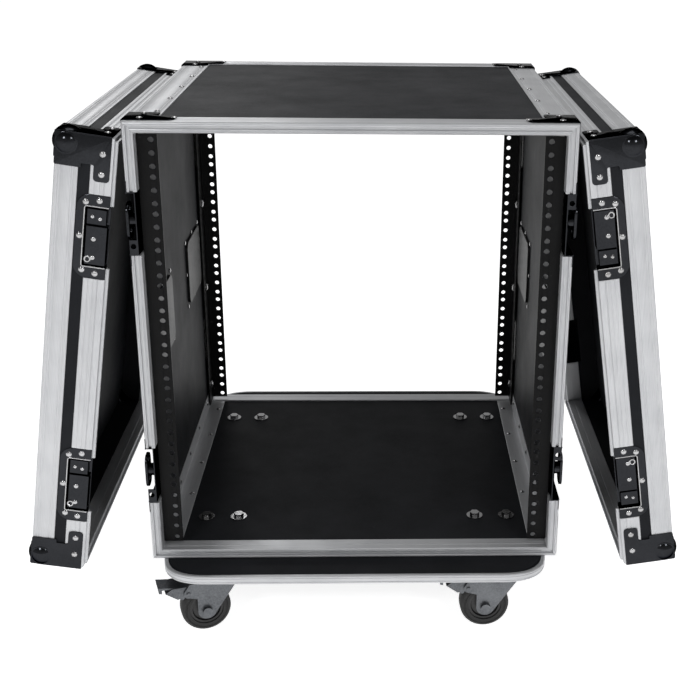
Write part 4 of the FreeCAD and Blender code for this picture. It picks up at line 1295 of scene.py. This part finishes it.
@dataclass
class Board:
    """Castor board with its bolts and plates, and the aluminium channel round it."""

    corner: float = 60.0
    lip: float = 5.0

    def build(self) -> None:
        """Dress the board and its bolts, and sweep the ribbed channel round it."""
        dress("caster_board", FINISHES.laminate, 0.3)
        dress("board_bolts", FINISHES.nickel, 0.3)
        dress("caster_plates", FINISHES.zinc, 0.4)
        low, high = (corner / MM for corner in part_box("board_edging"))
        lip = self.lip
        section = [(lip, 1.5), (lip, 0.1), (1.2, 0.0), (0.0, 1.2), (0.0, 2.6), (0.5, 3.1), (0.0, 3.6),
                   (0.0, 7.9), (0.5, 8.4), (0.0, 8.9), (0.0, 10.3), (1.2, 11.5), (lip, 11.4),
                   (lip, 10.0), (1.5, 10.0), (1.5, 1.5)]
        rows = []
        outline = rectangle(high.x - low.x, high.y - low.y, self.corner, 14)
        for u, up in section:
            rows.append([Vector((p.x, p.y, low.z + up)) for p in inset(outline, u)])
        skin = Skin()
        skin.rows(rows, wrap=True)
        skin.piece("board_channel", "case", FINISHES.drawn(Grain.NONE), "aluminium", ["board_edging"])


@dataclass
class Castor:
    """Fork, pedal, tyre and wheel centre of one castor."""

    key: str
    wheel_r: float = 32.5
    wheel_w: float = 24.0
    core_r: float = 22.0

    def frame_at(self) -> Matrix:
        """Find where the wheel stands.

        Returns:
            Matrix with local Z along the axle, from the middle of the wheel.
        """
        roll = next(joint for joint in FRAME["joints"] if joint["name"] == f"{self.key}_roll")
        return place(Vector(roll["pos_m"]) / MM, axis_turn(Vector(roll["axis"])))

    def tyre(self) -> None:
        """Moulded tyre with a crowned tread between two ridges."""
        half, r = self.wheel_w / 2, self.wheel_r
        side = [(self.core_r, half), (r - 7, half), (r - 6.4, half - 0.8), (r - 5.2, half - 0.8),
                (r - 4.6, half), (r - 3.2, half - 0.3), (r - 1.2, half - 1.8), (r - 0.3, half - 4.0)]
        tread = [(r - 0.9, half - 5.0), (r - 0.1, half - 6.2), (r, 0.0)]
        upper = side + tread
        profile = upper + [(radius, -height) for radius, height in reversed(upper[:-1])]
        skin = Skin()
        skin.lathe(profile, self.frame_at(), 64, closed=True)
        skin.piece(f"tyre_{self.key}_moulded", f"caster_{self.key}_wheel", FINISHES.rubber, "rubber",
                   [f"tyre_{self.key}"])

    def core(self) -> None:
        """Wheel centre with a rim, a dished web and a nave."""
        half = self.wheel_w / 2
        upper = [(4.1, 13.5), (8.6, 13.5), (9.6, 12.6), (10.2, 8.4), (17.6, 8.0), (18.6, half - 1.5),
                 (self.core_r, half - 1.5)]
        profile = upper + [(radius, -height) for radius, height in reversed(upper)]
        skin = Skin()
        skin.lathe(profile, self.frame_at(), 48, closed=True)
        skin.piece(f"core_{self.key}_moulded", f"caster_{self.key}_wheel", FINISHES.nylon, "wheel_core",
                   [f"core_{self.key}"])

    def build(self) -> None:
        """Dress the fork and the pedal, and make the wheel."""
        dress(f"fork_{self.key}", FINISHES.zinc, 0.4)
        dress(f"pedal_{self.key}", FINISHES.zinc, 0.4)
        self.tyre()
        self.core()


# ---- stage ----

@dataclass(frozen=True)
class Stage:
    """Pale floor, soft light and camera."""

    sensor: float = 36.0
    focal: float = 62.09
    yaw: float = 2.286
    pitch: float = 20.437
    roll: float = 0.796
    eye: tuple[float, float, float] = (33.94, -1633.55, 920.48)
    shift: tuple[float, float] = (-0.110, -0.0186)
    floor_size: float = 60.0
    glow: float = 0.84
    aim: tuple[float, float, float] = (0.0, 0.0, 0.35)
    # Brightness of the surroundings at the horizon and above the height where it stops falling.
    horizon: float = 0.7
    zenith: float = 0.16
    falls_to: float = 0.7
    # Name, place in metres, width in metres and power in watts of each lamp.
    lamps: tuple[tuple[str, tuple[float, float, float], float, float], ...] = (
        ("overhead", (0.1, -0.3, 2.5), 1.4, 17.0),
        ("left_lamp", (-1.1, -2.4, 1.8), 0.45, 15.0),
        ("right_lamp", (1.2, -2.3, 1.7), 0.45, 14.0),
        ("rear_lamp", (-0.6, 2.4, 2.0), 0.5, 6.0))

    def floor(self) -> None:
        """Large pale floor."""
        bpy.ops.mesh.primitive_plane_add(size=self.floor_size)
        floor = bpy.context.object
        floor.name = "floor"
        floor.data.materials.append(self.paper())

    def paper(self) -> bpy.types.Material:
        """White paper that glows, so that shadows on it stay faint.

        Returns:
            Its material.
        """
        made = bpy.data.materials.new("white_paper")
        made.use_nodes = True
        tree = made.node_tree
        tree.nodes.clear()
        shader = node(tree, "ShaderNodeBsdfPrincipled",
                      {"Base Color": linear("#f2f2f2"), "Roughness": 0.9, "Specular IOR Level": 0.0,
                       "Emission Color": linear("#ffffff"), "Emission Strength": self.glow})
        node(tree, "ShaderNodeOutputMaterial", links={"Surface": shader.outputs[0]})
        return made

    def light(self, name: str, at: tuple[float, float, float], size: float, power: float) -> None:
        """Soft square light that faces the middle of the case.

        Args:
            name: Name of the lamp.
            at: Where it stands, in metres.
            size: Width, in metres.
            power: Power, in watts.
        """
        data = bpy.data.lights.new(name, "AREA")
        data.shape = "SQUARE"
        data.size, data.energy = size, power
        lamp = bpy.data.objects.new(name, data)
        lamp.location = at
        aim = Vector(self.aim) - Vector(at)
        lamp.rotation_euler = aim.to_track_quat("-Z", "Y").to_euler()
        bpy.context.scene.collection.objects.link(lamp)

    def sky(self) -> None:
        """Even studio surroundings, paler near the horizon than overhead."""
        world = bpy.data.worlds.new("studio")
        bpy.context.scene.world = world
        world.use_nodes = True
        tree = world.node_tree
        tree.nodes.clear()
        up = node(tree, "ShaderNodeTexCoord").outputs["Generated"]
        height = node(tree, "ShaderNodeSeparateXYZ", links={0: up}).outputs["Z"]
        tone = node(tree, "ShaderNodeMapRange",
                    {"From Min": 0.0, "From Max": self.falls_to, "To Min": self.horizon,
                     "To Max": self.zenith}, {"Value": height}).outputs[0]
        light = node(tree, "ShaderNodeBackground", {"Strength": 1.0}, {"Color": tone})
        node(tree, "ShaderNodeOutputWorld", links={0: light.outputs[0]})

    def camera(self) -> None:
        """Camera in front of the case, looking down at it."""
        yaw, pitch, roll = (math.radians(value) for value in (self.yaw, self.pitch, self.roll))
        ahead = Vector((math.sin(yaw) * math.cos(pitch), math.cos(yaw) * math.cos(pitch), -math.sin(pitch)))
        level = Vector((math.cos(yaw), -math.sin(yaw), 0.0))
        upward = level.cross(ahead)
        right = level * math.cos(roll) + upward * math.sin(roll)
        upward = right.cross(ahead)
        data = bpy.data.cameras.new("camera")
        data.sensor_width, data.lens = self.sensor, self.focal
        data.shift_x, data.shift_y = self.shift
        camera = bpy.data.objects.new("camera", data)
        turn = Matrix((right, upward, -ahead)).transposed().to_4x4()
        camera.matrix_world = Matrix.Translation(Vector(self.eye) * MM) @ turn
        bpy.context.scene.collection.objects.link(camera)
        bpy.context.scene.camera = camera

    def build(self) -> None:
        """Set the floor, the surroundings, the lamps and the camera."""
        self.floor()
        self.sky()
        for lamp in self.lamps:
            self.light(*lamp)
        bpy.context.scene.view_settings.view_transform = "Standard"
        self.camera()


# ---- all of it ----

def main() -> None:
    """Build every class in order."""
    sizes = Sizes.from_frame()
    Stage().build()
    Body(sizes).build()
    BodyEdges(sizes).build()
    Rails().build()
    Latches(sizes).build()
    SideHandles(sizes).build()
    Board().build()
    for end in ("front", "rear"):
        for side in ("left", "right"):
            Castor(f"{end}_{side}").build()
    for side in ("left", "right"):
        Lid(side, sizes).build()


if __name__ == "__main__":
    logging.basicConfig(level=logging.INFO, format="%(name)s: %(message)s")
    main()
